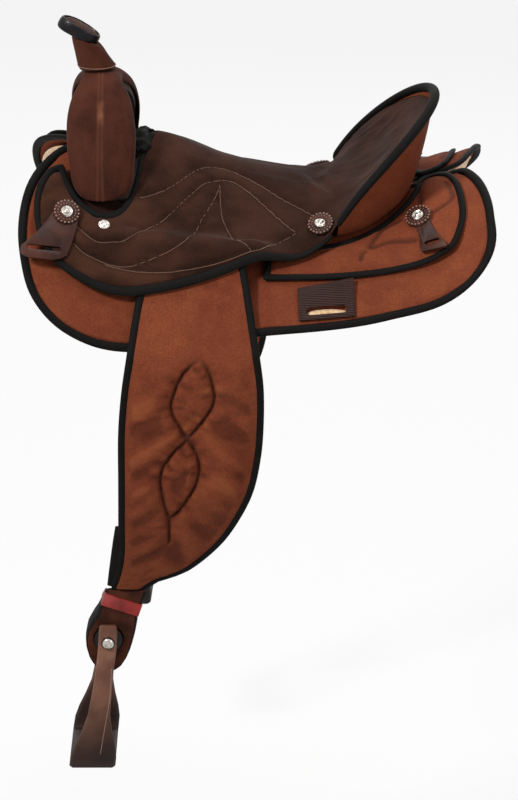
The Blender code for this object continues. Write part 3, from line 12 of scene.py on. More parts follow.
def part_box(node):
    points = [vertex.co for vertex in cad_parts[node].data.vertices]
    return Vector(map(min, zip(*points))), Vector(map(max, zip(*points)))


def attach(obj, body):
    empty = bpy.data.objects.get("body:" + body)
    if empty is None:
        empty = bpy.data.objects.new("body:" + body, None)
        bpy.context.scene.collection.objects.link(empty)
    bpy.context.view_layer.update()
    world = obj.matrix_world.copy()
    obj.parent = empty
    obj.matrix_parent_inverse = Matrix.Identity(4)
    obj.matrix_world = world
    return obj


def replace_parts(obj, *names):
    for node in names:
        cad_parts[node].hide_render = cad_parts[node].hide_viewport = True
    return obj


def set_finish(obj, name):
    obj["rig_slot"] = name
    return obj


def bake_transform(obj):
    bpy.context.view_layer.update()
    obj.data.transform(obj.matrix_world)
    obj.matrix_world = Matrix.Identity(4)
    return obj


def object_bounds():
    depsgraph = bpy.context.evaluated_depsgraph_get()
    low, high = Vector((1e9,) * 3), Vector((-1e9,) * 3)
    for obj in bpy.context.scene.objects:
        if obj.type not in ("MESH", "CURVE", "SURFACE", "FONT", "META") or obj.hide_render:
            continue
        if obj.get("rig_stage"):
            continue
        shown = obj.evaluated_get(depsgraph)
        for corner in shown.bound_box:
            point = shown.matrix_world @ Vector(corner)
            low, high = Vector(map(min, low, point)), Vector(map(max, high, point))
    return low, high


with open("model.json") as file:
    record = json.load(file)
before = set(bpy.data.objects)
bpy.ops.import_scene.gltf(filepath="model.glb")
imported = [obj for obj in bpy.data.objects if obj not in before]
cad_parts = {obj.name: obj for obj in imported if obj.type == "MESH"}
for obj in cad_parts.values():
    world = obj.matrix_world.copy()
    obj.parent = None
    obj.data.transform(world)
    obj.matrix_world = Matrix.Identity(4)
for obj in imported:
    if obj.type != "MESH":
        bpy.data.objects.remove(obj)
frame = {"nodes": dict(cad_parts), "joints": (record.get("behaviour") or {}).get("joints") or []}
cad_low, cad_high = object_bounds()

# ---- Camera and studio -------------------------------------------------------------------
# The saddle is in metres, with +X to its rear and its near side at -Y, and it is held clear of
# the ground. The camera looks square at the near side from 23 degrees up, in soft studio light.
MM = 0.001
scene = bpy.context.scene
scene.view_settings.view_transform = "Standard"
CAMERA_TARGET = Vector((0.0229, -0.2000, -0.2068))
CAMERA_RANGE = 4.5
CAMERA_DEGREES = 23.0
FRAME_HEIGHT = 800 * 1.4 * MM
SENSOR = 36.0
FAR_CLIP = 50.0
rise = math.radians(CAMERA_DEGREES)
camera = bpy.data.objects.new("camera", bpy.data.cameras.new("camera"))
scene.collection.objects.link(camera)
scene.camera = camera
camera.data.sensor_width = SENSOR
camera.data.lens = SENSOR * CAMERA_RANGE / FRAME_HEIGHT
camera.data.clip_end = FAR_CLIP
camera.location = CAMERA_TARGET - CAMERA_RANGE * Vector((0.0, math.cos(rise), -math.sin(rise)))
camera.rotation_euler = (math.pi / 2 - rise, 0.0, 0.0)


def linear(code):
    """Linear colour of a hex code."""
    parts = (int(code[k:k + 2], 16) / 255 for k in (1, 3, 5))
    return tuple(c / 12.92 if c < 0.04045 else ((c + 0.055) / 1.055)**2.4 for c in parts)


class Shade:
    """One socket of a material, so that masks and bumps are written as sums."""

    def __init__(self, tree, socket=None):
        self.tree, self.socket = tree, socket

    def node(self, kind, out=0, settings=None, **sockets):
        made = self.tree.nodes.new(kind)
        for key, value in (settings or {}).items():
            setattr(made, key, value)
        for key, value in sockets.items():
            key = int(key[1:]) if key[0] == "n" and key[1:].isdigit() else key.replace("_", " ")
            if isinstance(value, Shade):
                self.tree.links.new(value.socket, made.inputs[key])
            else:
                made.inputs[key].default_value = value
        return Shade(self.tree, made.outputs[out])

    def maths(self, operation, a, b=0.0):
        return self.node("ShaderNodeMath", settings={"operation": operation}, n0=a, n1=b)

    def __add__(self, other):
        return self.maths("ADD", self, other)

    __radd__ = __add__

    def __sub__(self, other):
        return self.maths("SUBTRACT", self, other)

    def __rsub__(self, other):
        return self.maths("SUBTRACT", other, self)

    def __mul__(self, other):
        return self.maths("MULTIPLY", self, other)

    __rmul__ = __mul__

    def grain(self, place, scale, detail=3.0, stretch=(1, 1, 1)):
        """Noise from 0 to 1 at so many grains to the metre."""
        if stretch != (1, 1, 1):
            place = self.node("ShaderNodeVectorMath", settings={"operation": "MULTIPLY"},
                              n0=place, n1=stretch)
        return self.node("ShaderNodeTexNoise", Vector=place, Scale=scale, Detail=detail)

    def along(self, place):
        """How far to the rear a place lies."""
        return self.node("ShaderNodeSeparateXYZ", n0=place)

    def height(self, place):
        return self.node("ShaderNodeSeparateXYZ", out=2, n0=place)

    def kept(self, name):
        """A share that the mesh keeps at each of its points."""
        return self.node("ShaderNodeAttribute", out="Fac", settings={"attribute_name": name})

    def between(self, low, high):
        """0 below low, 1 above high, smooth between."""
        return self.node("ShaderNodeMapRange", settings={"interpolation_type": "SMOOTHSTEP"},
                         Value=self, From_Min=low, From_Max=high)

    def tint(self, first, second):
        """A colour from first to second as this goes from 0 to 1."""
        made = self.tree.nodes.new("ShaderNodeMix")
        made.data_type = "RGBA"
        self.tree.links.new(self.socket, made.inputs[0])
        for socket, colour in ((made.inputs[6], first), (made.inputs[7], second)):
            if isinstance(colour, Shade):
                self.tree.links.new(colour.socket, socket)
            else:
                socket.default_value = (*linear(colour), 1.0)
        return Shade(self.tree, made.outputs[2])


def seen_share(s):
    """1 where a surface is seen, mirrored or looked through, 0 where it only takes light."""
    seen, mirrored, through = (s.node("ShaderNodeLightPath", out=kind) for kind in (
        "Is Camera Ray", "Is Glossy Ray", "Is Transmission Ray"))
    return s.maths("MAXIMUM", seen, s.maths("MAXIMUM", mirrored, through))


ROOM_LIGHT = 0.20
world = bpy.data.worlds.new("studio")
scene.world = world
world.use_nodes = True
nodes = world.node_tree.nodes
nodes["Background"].inputs["Color"].default_value = (1.0, 1.0, 1.0, 1.0)
nodes["Background"].inputs["Strength"].default_value = ROOM_LIGHT
s = Shade(world.node_tree)
shown = s.node("ShaderNodeBackground", Color=(1.0, 1.0, 1.0, 1.0), Strength=1.0)
both = s.node("ShaderNodeMixShader", n0=seen_share(s),
              n1=Shade(s.tree, nodes["Background"].outputs[0]), n2=shown)
s.tree.links.new(both.socket, nodes["World Output"].inputs[0])

LIT_POINT = Vector((0, 0, -0.2))
LAMPS = (("key", (-2.6, -2.2, 2.9), 0.7, 150.0), ("fill", (3.0, -2.4, 1.4), 2.2, 36.0),
         ("top", (0.5, 0.5, 3.0), 1.8, 52.0), ("back", (0.5, 3.4, 1.2), 2.6, 26.0))
for name, place, size, power in LAMPS:
    lamp = bpy.data.objects.new(name, bpy.data.lights.new(name, "AREA"))
    lamp.data.size = size
    lamp.data.energy = power
    lamp.location = place
    lamp.rotation_euler = (LIT_POINT - Vector(place)).to_track_quat("-Z", "Y").to_euler()
    scene.collection.objects.link(lamp)


# ---- Floor -------------------------------------------------------------------------------
# A plain pale floor, well under the hanging saddle. It is as light as the background where it
# is seen, so that no edge shows, and still takes the lamps' light and shadow.
FLOOR_DROP, FLOOR_SPAN, FLOOR_GLOW = 0.30, 30.0, 0.85
bpy.ops.object.select_all(action="DESELECT")
bpy.ops.mesh.primitive_plane_add(size=FLOOR_SPAN, location=(0, 0, 0))
floor = bpy.context.object
floor.name = "floor"
floor.data.transform(Matrix.Translation((0, 0, cad_low.z - FLOOR_DROP)))
floor_finish = bpy.data.materials.new("floor")
floor_finish.use_nodes = True
nodes = floor_finish.node_tree.nodes
nodes["Principled BSDF"].inputs["Base Color"].default_value = (0.86, 0.86, 0.86, 1)
nodes["Principled BSDF"].inputs["Roughness"].default_value = 0.9
s = Shade(floor_finish.node_tree)
glow = s.node("ShaderNodeEmission")
both = s.node("ShaderNodeMixShader", n0=seen_share(s) * FLOOR_GLOW,
              n1=Shade(s.tree, nodes["Principled BSDF"].outputs[0]), n2=glow)
s.tree.links.new(both.socket, nodes["Material Output"].inputs[0])
floor.data.materials.append(floor_finish)
floor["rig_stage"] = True


# ---- Tree --------------------------------------------------------------------------------
# Fork, cantle and two bars of sawn wood under the covers, with the stiff leather ground seat
# over them. Nothing of them shows but a little under the gullet.
def finish_of(name, build, **constants):
    """A material whose varying sockets come from build(shade, place)."""
    made = bpy.data.materials.new(name)
    made.use_nodes = True
    tree = made.node_tree
    shader = tree.nodes["Principled BSDF"]
    for key, value in constants.items():
        shader.inputs[key.replace("_", " ")].default_value = value
    shade = Shade(tree)
    place = shade.node("ShaderNodeTexCoord", out="Object")
    varying = build(shade, place)
    height = varying.pop("height", None)
    if height:
        depth, socket = height
        varying["Normal"] = shade.node("ShaderNodeBump", Strength=1.0, Distance=depth,
                                       Height=socket)
    for key, value in varying.items():
        tree.links.new(value.socket, shader.inputs[key])
    return made


def plain_of(name, dark, light, pores, patches, bump, rough=None, spread=(0.3, 0.7), **constants):
    """Plain wood, leather or cloth; pores and patches are grains to the metre and their
    detail."""
    def hide(s, p):
        fine, broad = s.grain(p, *pores), s.grain(p, *patches)
        look = {"Base Color": broad.between(*spread).tint(dark, light), "height": (bump, fine)}
        if rough:
            look["Roughness"] = rough[0] + rough[1] * broad
        return look

    return finish_of(name, hide, **constants)


RINGS = (60.0, 4.0, (0.15, 1.0, 1.0))
wood = plain_of("sawn_wood", "#1d120c", "#2f1e14", RINGS, RINGS, 0.0004, Roughness=0.75)
plain_leather = plain_of("plain_leather", "#3e241b", "#553226", (900.0, 2.0), (18.0, 3.0), 0.0002,
                         Roughness=0.6)
for node, finish in (("tree_fork", wood), ("tree_cantle", wood), ("tree_bar_near", wood),
                     ("tree_bar_off", wood), ("ground_seat", plain_leather)):
    materials = frame["nodes"][node].data.materials
    materials.clear()
    materials.append(finish)


# ---- Fleece ------------------------------------------------------------------------------
# Synthetic fleece under each skirt, cut pile in tufts. It shows inside the far skirt, in the
# rigging slots and from below.
def pile(s, p):
    tufts = s.grain(p, 210.0, 4.0)
    broad = s.grain(p, 30.0, 2.0)
    return {"Base Color": (tufts * 0.7 + broad * 0.3).between(0.3, 0.65).tint(
        "#b98a58", "#ecc99a"), "height": (0.003, tufts)}


fleece_pile = finish_of("fleece_pile", pile, Roughness=1.0, Sheen_Weight=0.4, Sheen_Roughness=0.6)


def only(piece):
    """Leaves one object selected and active."""
    bpy.ops.object.select_all(action="DESELECT")
    piece.select_set(True)
    bpy.context.view_layer.objects.active = piece


def apply_all(piece):
    only(piece)
    for modifier in list(piece.modifiers):
        bpy.ops.object.modifier_apply(modifier=modifier.name)


def settle(piece, finish, slot, body=None):
    """Gives a piece its one finish, its slot and the body that it rides on."""
    piece.data.materials.clear()
    piece.data.materials.append(finish)
    for face in piece.data.polygons:
        face.material_index = 0
    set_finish(piece, slot)
    if body:
        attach(piece, body)


def piece_of(name, build, finish, slot, body=None, soft=True):
    """An object from mesh code that is done, shaded round where it is soft."""
    mesh = bpy.data.meshes.new(name)
    build.to_mesh(mesh)
    build.free()
    piece = bpy.data.objects.new(name, mesh)
    scene.collection.objects.link(piece)
    if soft:
        mesh.shade_smooth()
    settle(piece, finish, slot, body)
    return piece


def dressed(node, finish, slot, body="saddle", bevel=0.0, levels=0):
    """A piece of the frame's form with its edges rounded and its facets smoothed."""
    piece = bpy.data.objects.new(node + "_made", frame["nodes"][node].data.copy())
    scene.collection.objects.link(piece)
    only(piece)
    bpy.ops.object.mode_set(mode="EDIT")
    bpy.ops.mesh.select_all(action="SELECT")
    bpy.ops.mesh.remove_doubles(threshold=0.00002)
    bpy.ops.mesh.tris_convert_to_quads(face_threshold=math.radians(45),
                                       shape_threshold=math.radians(60))
    bpy.ops.object.mode_set(mode="OBJECT")
    if piece.data.has_custom_normals:
        bpy.ops.mesh.customdata_custom_splitnormals_clear()
    if bevel:
        rounding = piece.modifiers.new("edges", "BEVEL")
        rounding.width = bevel
        rounding.segments = 2
        rounding.limit_method = "ANGLE"
        rounding.angle_limit = math.radians(35)
    if levels:
        smoothing = piece.modifiers.new("smooth", "SUBSURF")
        smoothing.levels = smoothing.render_levels = levels
    apply_all(piece)
    bpy.ops.object.shade_smooth_by_angle(angle=math.radians(50))
    settle(piece, finish, slot, body)
    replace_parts(piece, node)
    return piece


def points_of(piece):
    co = np.empty(len(piece.data.vertices) * 3)
    piece.data.vertices.foreach_get("co", co)
    return co.reshape(-1, 3)


def put_points(piece, co):
    piece.data.vertices.foreach_set("co", co.ravel())
    piece.data.update()


def normals_of(piece):
    way = np.empty(len(piece.data.vertices) * 3)
    piece.data.vertex_normals.foreach_get("vector", way)
    return way.reshape(-1, 3)


SIDES = (("near", -1.0), ("off", 1.0))
TUFT = 1.6 * MM
for tag, side in SIDES:
    wool = dressed("fleece_" + tag, fleece_pile, "fleece", levels=2)
    co, way = points_of(wool), normals_of(wool)
    under = way[:, 2] < -0.2
    bump = np.array([noise.noise(Vector(c) * 190.0) + 0.6 * noise.noise(Vector(c) * 420.0)
                     for c in co])
    co += way * (TUFT * bump * under)[:, None]
    put_points(wool, co)


# ---- Skirts ------------------------------------------------------------------------------
# Red-brown cordura over felt, square at the back and round in front, with a black rolled
# binding sewn round the edge.
def cordura_cloth(s, p):
    warp = s.grain(p, 1000.0, 1.0, (0.30, 1.0, 1.0))
    weft = s.grain(p, 1000.0, 1.0, (1.0, 0.30, 0.30))
    weave = warp * 0.5 + weft * 0.5
    broad = s.grain(p, 9.0, 3.0)
    dusty = s.grain(p, 45.0, 4.0)
    shadow = s.kept("seam")
    cloth = broad.between(0.3, 0.7).tint("#6e331f", "#7f3f28")
    cloth = (dusty.between(0.35, 0.75) * 0.30).tint(cloth, "#96522f")
    cloth = (weave.between(0.42, 0.62) * 0.45).tint(cloth, "#4f2416")
    # Painted shade in the sewn grooves and, on the fenders, in the hollows of the quilting.
    cloth = (shadow * 0.6).tint(cloth, "#26100a")
    # Painted highlight on the ridges of the fenders' quilting.
    ridge = s.kept("ridge")
    cloth = (ridge * 0.28).tint(cloth, "#9d5936")
    # Painted shade: the fenders are darkened towards the foot, where less light falls, and what
    # shows through the hand hole is painted dark as shade.
    foot_shade = 1.0 - s.height(p).between(-0.52, -0.22)
    cloth = (foot_shade * 0.42).tint(cloth, "#2b130b")
    rear = s.along(p)
    hole_shade = rear.between(-0.238, -0.234) * (1.0 - rear.between(-0.12, -0.11)) \
        * s.height(p).between(0.012, 0.020)
    cloth = hole_shade.tint(cloth, "#2a1610")
    return {"Base Color": cloth, "height": (0.00035, weave)}


cordura = finish_of("cordura_cloth", cordura_cloth, Roughness=0.85, Specular_IOR_Level=0.12)
tape = plain_of("black_tape", "#070605", "#12100f", (700.0, 2.0), (60.0, 3.0), 0.0002,
                rough=(0.6, 0.3), spread=(0.35, 0.8), Specular_IOR_Level=0.1)


def tucked(panel, roll, reach=8 * MM, most=3.5 * MM):
    """Draws a panel's border into the roll that is sewn round it."""
    tree = KDTree(len(roll.data.vertices))
    for k, vertex in enumerate(roll.data.vertices):
        tree.insert(vertex.co, k)
    tree.balance()
    co = points_of(panel)
    for k, point in enumerate(co):
        spot, _, far = tree.find(point)
        if 1e-6 < far < reach:
            co[k] += np.array(spot - Vector(point)) / far * min(far, most * (1 - far / reach))
    put_points(panel, co)


def plumped(piece, amount):
    """Thickens a roll by so much all round."""
    put_points(piece, points_of(piece) + normals_of(piece) * amount)
    return piece


def smooth(low, high, value):
    share = np.clip((value - low) / (high - low), 0, 1)
    return share * share * (3 - 2 * share)


def bound(panel, node, amount):
    """Dresses the roll that is sewn round a panel, thickened by amount."""
    roll = plumped(dressed(node, tape, "binding", levels=2), amount)
    tucked(panel, roll)
    return roll


CORNER_REAR, CORNER_OUT = (0.20, 0.30), (0.145, 0.205)
CORNER_DRAWN = np.array([11 * MM, 4 * MM, -7 * MM])


def squared(piece, side):
    """Draws the rear corner of a skirt out to its square shape."""
    co = points_of(piece)
    share = smooth(*CORNER_REAR, co[:, 0]) * smooth(*CORNER_OUT, co[:, 1] * side)
    put_points(piece, co + share[:, None] * CORNER_DRAWN * (1, side, 1))


for tag, side in SIDES:
    panel = dressed("skirt_" + tag, cordura, "cordura", levels=2)
    edge = bound(panel, "skirt_binding_" + tag, 1.5 * MM)
    for piece in (panel, edge, bpy.data.objects["fleece_" + tag + "_made"]):
        squared(piece, side)


# ---- Rigging plates ----------------------------------------------------------------------
# A ribbed leather plate let into the skirt on each side, with the slot that the cinch strap
# passes through.
def ribbed_leather(s, p):
    ribs = s.node("ShaderNodeTexWave", settings={"bands_direction": "Z"}, Vector=p, Scale=120.0,
                  Distortion=0.6, Detail=1.0)
    broad = s.grain(p, 35.0, 3.0)
    return {"Base Color": (broad * 0.6 + ribs * 0.25).between(0.2, 0.8).tint(
        "#24130f", "#3b241e"), "Roughness": 0.35 + 0.25 * broad,
        "height": (0.0006, ribs)}


rigging_leather = finish_of("rigging_leather", ribbed_leather, Specular_IOR_Level=0.12)


def lying(piece):
    """Centre of a round piece's outer face, the way out and its radius."""
    co = points_of(piece)
    middle = co.mean(axis=0)
    out = np.linalg.svd(co - middle, full_matrices=False)[2][2]
    out = out if out[2] > 0 else -out
    reach = (co - middle) @ out
    radius = np.linalg.norm(co - middle - np.outer(reach, out), axis=1).max()
    return Vector(middle + out * reach.max()), Vector(out), radius


def ball(place, size, around, rows, turn=Matrix.Identity(4)):
    """Mesh code of a ball stretched to a size."""
    build = bmesh.new()
    bmesh.ops.create_uvsphere(build, u_segments=around, v_segments=rows, radius=1.0,
                              matrix=Matrix.Translation(place) @ turn
                              @ Matrix.Diagonal((*size, 1.0)))
    return build


PLATE_TOP, PLATE_LEAN, PLATE_TALLER = (-52 * MM, -40 * MM), 6.5 * MM, 12.5 * MM
WOOL_SIZE, WOOL_DEEP, WOOL_DROP = (31 * MM, 7.5 * MM, 5 * MM), 8 * MM, 6.5 * MM
for tag, side in SIDES:
    plate = dressed("rigging_plate_" + tag, rigging_leather, "leather", bevel=0.8 * MM)
    centre, out, _ = lying(plate)
    co = points_of(plate)
    top = smooth(*PLATE_TOP, co[:, 2])[:, None]
    put_points(plate, co + top * np.array([0.0, -side * PLATE_LEAN, PLATE_TALLER]))
    rear = (Vector((1, 0, 0)) - out * out.x).normalized()
    down = out.cross(rear)
    turn = Matrix((rear, down, out)).transposed().to_4x4()
    down *= -1 if down.z > 0 else 1
    wool = ball(centre - out * WOOL_DEEP + down * WOOL_DROP, WOOL_SIZE, 32, 12, turn)
    piece_of("slot_fleece_" + tag, wool, fleece_pile, "fleece", "saddle")


# ---- Rear jockeys ------------------------------------------------------------------------
# Padded cordura flaps that lie on the skirts behind the seat, quilted in leaves with a dark
# thread, with a black rolled edge.
def chain(points, step):
    """Points about step apart on a smooth curve through the given points."""
    knots = [Vector(p) for p in points]
    ends = [2 * knots[0] - knots[1], *knots, 2 * knots[-1] - knots[-2]]
    fine = []
    for a, b, c, d in zip(ends, ends[1:], ends[2:], ends[3:]):
        fine += [0.5 * (2 * b + (c - a) * t + (2 * a - 5 * b + 4 * c - d) * t * t
                        + (3 * b - a - 3 * c + d) * t**3) for t in (k / 24 for k in range(24))]
    fine.append(knots[-1])
    run = np.concatenate(([0.0], np.cumsum([(q - p).length for p, q in zip(fine, fine[1:])])))
    count = max(2, round(run[-1] / step))
    goals = np.linspace(0.0, run[-1], count + 1)
    table = np.array([tuple(p) for p in fine])
    return np.stack([np.interp(goals, run, table[:, k]) for k in range(table.shape[1])], axis=1)


def distance_to(points, line):
    """How far each flat point lies from a flat line."""
    best = np.full(len(points), 1e9)
    for a, b in zip(line, line[1:]):
        run = b - a
        share = np.clip(((points - a) @ run) / max(1e-12, run @ run), 0, 1)
        best = np.minimum(best, np.linalg.norm(points - a - share[:, None] * run, axis=1))
    return best


def filled_out(piece, held, pressure, cap, growth=0.0):
    """Blows a closed piece up as its padding does, but for the points that are held."""
    before = points_of(piece)
    group = piece.vertex_groups.new(name="held")
    group.add([int(k) for k in np.nonzero(held)[0]], 1.0, "REPLACE")
    cloth = piece.modifiers.new("padding", "CLOTH")
    settings = cloth.settings
    settings.quality = 4
    settings.vertex_group_mass = group.name
    settings.use_pressure = True
    settings.uniform_pressure_force = pressure
    settings.shrink_min = -growth
    settings.effector_weights.gravity = 0.0
    for step in range(1, 21):
        scene.frame_set(step)
    only(piece)
    bpy.ops.object.modifier_apply(modifier=cloth.name)
    scene.frame_set(1)
    piece.vertex_groups.clear()
    moved = points_of(piece) - before
    length = np.linalg.norm(moved, axis=1, keepdims=True)
    put_points(piece, before + moved * np.minimum(1.0, cap / np.maximum(length, 1e-9)))


def stitches(name, lines, finish, slot, length=3.4 * MM, pitch=4.8 * MM, thick=0.9 * MM):
    """Rows of short threads; each line is a list of (point, outward) pairs."""
    build = bmesh.new()
    for line in lines:
        if len(line) < 3:
            continue
        run = [0.0]
        for (a, _), (b, _) in zip(line, line[1:]):
            run.append(run[-1] + (Vector(b) - Vector(a)).length)
        spots = np.arange(pitch / 2, run[-1], pitch)
        table = np.array([tuple(p) + tuple(n) for p, n in line])
        for at in spots:
            ends = [np.array([np.interp(at + d, run, table[:, k]) for k in range(6)])
                    for d in (-length / 2, length / 2)]
            a, b = Vector(ends[0][:3]), Vector(ends[1][:3])
            out = Vector(ends[0][3:]).normalized()
            along = b - a
            if along.length < length / 4:
                continue
            side = along.cross(out).normalized() * thick / 2
            top, base = out * thick * 0.6, -out * thick * 0.5
            middle = (a + b) / 2
            ends = [[build.verts.new(p + w) for w in (-side + base, side + base)] for p in (a, b)]
            high = [build.verts.new(middle + along * s + side * t + top)
                    for s, t in ((-0.3, -0.8), (-0.3, 0.8), (0.3, 0.8), (0.3, -0.8))]
            build.faces.new(high)
            build.faces.new((ends[0][0], ends[0][1], high[1], high[0]))
            build.faces.new((ends[1][1], ends[1][0], high[3], high[2]))
            build.faces.new((ends[0][1], ends[1][1], high[2], high[1]))
            build.faces.new((ends[1][0], ends[0][0], high[0], high[3]))
            build.faces.new((ends[0][0], ends[1][0], ends[1][1], ends[0][1]))
    bmesh.ops.recalc_face_normals(build, faces=build.faces)
    return piece_of(name, build, finish, slot, soft=False)


def laid(piece, line, way=Vector((0, 0, -1)), start=0.5):
    """(point, outward) pairs where a line of points, moved along way, meets a piece."""
    tree = BVHTree.FromPolygons([v.co for v in piece.data.vertices],
                                [p.vertices[:] for p in piece.data.polygons])
    found = []
    for point in line:
        hit, out, _, _ = tree.ray_cast(Vector(point) - way * start, way)
        if hit is not None:
            found.append((hit, out))
    return found


def thread_of(name, dark, light, rough=0.7, twisted=True):
    def twist_of(s, p):
        twist = s.grain(p, 600.0, 2.0)
        look = {"Base Color": twist.tint(dark, light)}
        return {**look, "height": (0.0001, twist)} if twisted else look

    return finish_of(name, twist_of, Roughness=rough)


dark_thread = thread_of("dark_thread", "#2a1a14", "#4a3026")
REAR_LINES = (((248, 8), (249, 54), (248, 94)), ((285, 53), (291, 78), (291, 101), (267, 116)),
              ((221, 111), (194, 123), (176, 151)), ((176, 151), (205, 149), (239, 156)),
              ((170, 157), (165, 163), (164, 168)))
JOCKEY_STARTS = 0.12


def traced(lines):
    """Smooth runs of points, in metres, through lines of flat points in millimetres."""
    return [chain([Vector(p) * MM for p in line], 4 * MM) for line in lines]


def marked(piece, name, share):
    """Keeps a share at each point of a piece, for its finish to read."""
    mark = piece.data.attributes.new(name, "FLOAT", "POINT")
    mark.data.foreach_set("value", share.astype(np.float32))


def pressed_in(piece, lines, side, depth, width):
    """Sews lines into a padded piece, seen from above, and marks them so that the finish paints
    shade in the grooves.
    """
    co, way = points_of(piece), normals_of(piece)
    flat = np.stack([co[:, 0], co[:, 1] * side if side else np.abs(co[:, 1])], axis=1)
    press = np.zeros(len(co))
    for line in lines:
        press = np.maximum(press, np.exp(-(distance_to(flat, line) / width)**2))
    press *= way[:, 2] > 0.2
    put_points(piece, co - way * (press * depth)[:, None])
    marked(piece, "seam", press)


def near_any(co, nodes, margin):
    """Which points lie over or under one of the frame's nodes."""
    hit = np.zeros(len(co), bool)
    for node in nodes:
        low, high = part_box(node)
        hit |= ((co[:, 0] > low.x - margin) & (co[:, 0] < high.x + margin)
                & (co[:, 1] > low.y - margin) & (co[:, 1] < high.y + margin))
    return hit


for tag, side in SIDES:
    jockey = dressed("rear_jockey_" + tag, cordura, "cordura", levels=2)
    lines = traced(REAR_LINES)
    co, way = points_of(jockey), normals_of(jockey)
    flat = np.stack([co[:, 0], co[:, 1] * side], axis=1)
    sewn = np.min([distance_to(flat, line) for line in lines], axis=0) < 2.5 * MM
    held = (way[:, 2] < 0.2) | sewn | (co[:, 0] < JOCKEY_STARTS)
    held |= near_any(co, ["rear_dee_" + tag, "rear_rosette_" + tag], 3 * MM)
    filled_out(jockey, held, pressure=7.0, cap=5 * MM)
    pressed_in(jockey, lines, side, depth=2.4 * MM, width=3.2 * MM)
    bound(jockey, "rear_jockey_binding_" + tag, 1.0 * MM)
    rows = [laid(jockey, [(x, side * y, 0) for x, y in line]) for line in lines]
    thread = stitches("rear_jockey_thread_" + tag, rows, dark_thread, "cordura")
    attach(thread, "saddle")


# ---- Seat --------------------------------------------------------------------------------
# Padded seat and front jockeys of dark brown suede in one piece, stitched in long leaves,
# lighter towards the front, with the black rolled edge along the flap and round the fork.
def napped(s, p):
    nap = s.grain(p, 1500.0, 2.0)
    brushed = s.grain(p, 26.0, 5.0, (0.6, 1.0, 1.0))
    broad = s.grain(p, 6.0, 3.0)
    front = 1.0 - s.along(p).between(-0.20, 0.06)
    seam = s.kept("seam")
    mottle = (brushed * 0.75 + broad * 0.25).between(0.32, 0.68)
    cover = (front * 0.8).tint(mottle.tint("#150b08", "#35201a"), mottle.tint("#1e100b", "#462a20"))
    cover = (nap.between(0.4, 0.7) * 0.35).tint(cover, "#5f3c2b")
    # Painted shade in the sewn grooves.
    cover = (seam * 0.5).tint(cover, "#120a07")
    return {"Base Color": cover, "height": (0.00045, nap * 0.6 + brushed * 0.4)}


suede = finish_of("seat_suede", napped, Roughness=0.95, Sheen_Weight=0.06, Sheen_Roughness=0.4,
                  Specular_IOR_Level=0.08)
brown_thread = thread_of("brown_thread", "#6a4a3a", "#8d6852")
SEAT_LINES = (
    ((-143, 104), (-124, 98), (-106, 89), (-86, 73), (-64, 52), (-47, 40), (-24, 34), (1, 40),
     (28, 53), (57, 72), (81, 86), (101, 101)),
    ((-229, 153), (-204, 166), (-182, 168), (-160, 166), (-132, 142), (-108, 124), (-88, 104),
     (-68, 84), (-51, 67), (-31, 57), (-13, 55), (8, 66), (30, 85), (52, 105), (73, 123)),
    ((-32, 63), (-35, 75), (-45, 97), (-59, 120), (-78, 163), (-102, 177), (-129, 185), (-159, 190),
     (-186, 188), (-203, 184), (-221, 179), (-233, 172)),
    ((-32, 68), (-31, 92), (-28, 113), (-19, 129), (-5, 160), (12, 174)),
    ((74, 125), (50, 142), (28, 168), (6, 177), (-16, 183), (-43, 188), (-71, 192), (-104, 195),
     (-142, 195), (-170, 192), (-190, 189)))
RIM_STARTS, FORK_ENDS, FORK_SIDE, SEAT_MIDDLE = 0.22, -0.10, 0.13, 0.03
DISH_RUN, DISH_SIDE = (0.03, 0.12), (0.10, 0.13)
PUFF_DEEP, CREASE_DEEP = 2.2 * MM, 2.0 * MM
seat = dressed("seat_cover", suede, "suede", levels=2)
lines = traced(SEAT_LINES)
co, way = points_of(seat), normals_of(seat)
flat = np.stack([co[:, 0], np.abs(co[:, 1])], axis=1)
sewn = np.min([distance_to(flat, line) for line in lines], axis=0) < 2.5 * MM
fixings = [kind + tag for tag, side in SIDES
           for kind in ("front_dee_", "front_rosette_", "seat_rosette_", "screw_concho_")]
held = (way[:, 2] < 0.2) | sewn | near_any(co, fixings, 3 * MM)
held |= (co[:, 0] > RIM_STARTS) | ((co[:, 0] < FORK_ENDS) & (flat[:, 1] < FORK_SIDE))
filled_out(seat, held, pressure=6.0, cap=5 * MM)
co, way = points_of(seat), normals_of(seat)
flat = np.stack([co[:, 0], np.abs(co[:, 1])], axis=1)
dish = smooth(*DISH_RUN, co[:, 0]) * (way[:, 2] > 0.1) * (1 - smooth(*DISH_SIDE, flat[:, 1]))
crease = np.array([noise.noise(Vector((x * 30 + y * 18, y * 30, z * 14))) for x, y, z in co])
crease = np.abs(crease)**0.6
sewn = np.min([distance_to(flat, line) for line in lines], axis=0)
puff = (1 - np.exp(-(sewn / (13 * MM))**1.5)) * np.exp(-(sewn / (45 * MM))**2)
puff *= (way[:, 2] > 0.2) * (co[:, 0] < DISH_RUN[1]) * (flat[:, 1] > SEAT_MIDDLE)
put_points(seat, co + way * (puff * PUFF_DEEP - crease * dish * CREASE_DEEP)[:, None])
pressed_in(seat, lines, 0, depth=2.2 * MM, width=3.2 * MM)
rows = []
for tag, side in SIDES:
    rows += [laid(seat, [(x, side * y, 0) for x, y in line]) for line in lines]
    bound(seat, "seat_binding_" + tag, 0.8 * MM)

# A crumpled black pad fills the gap between the seat's front and the fork.
PAD_PLACE, PAD_SIZE = (-0.1415, 0.0, 0.1085), (0.017, 0.046, 0.0125)
pad = ball(PAD_PLACE, PAD_SIZE, 96, 40)
for vertex in pad.verts:
    lump = noise.noise(vertex.co * 70) * 5 * MM + abs(noise.noise(vertex.co * 160)) * 2 * MM
    vertex.co += vertex.normal * lump
piece_of("fork_padding", pad, tape, "binding", "saddle")
thread = stitches("seat_thread", rows, brown_thread, "suede", length=2.7 * MM, pitch=3.2 * MM,
                  thick=1.0 * MM)
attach(thread, "saddle")


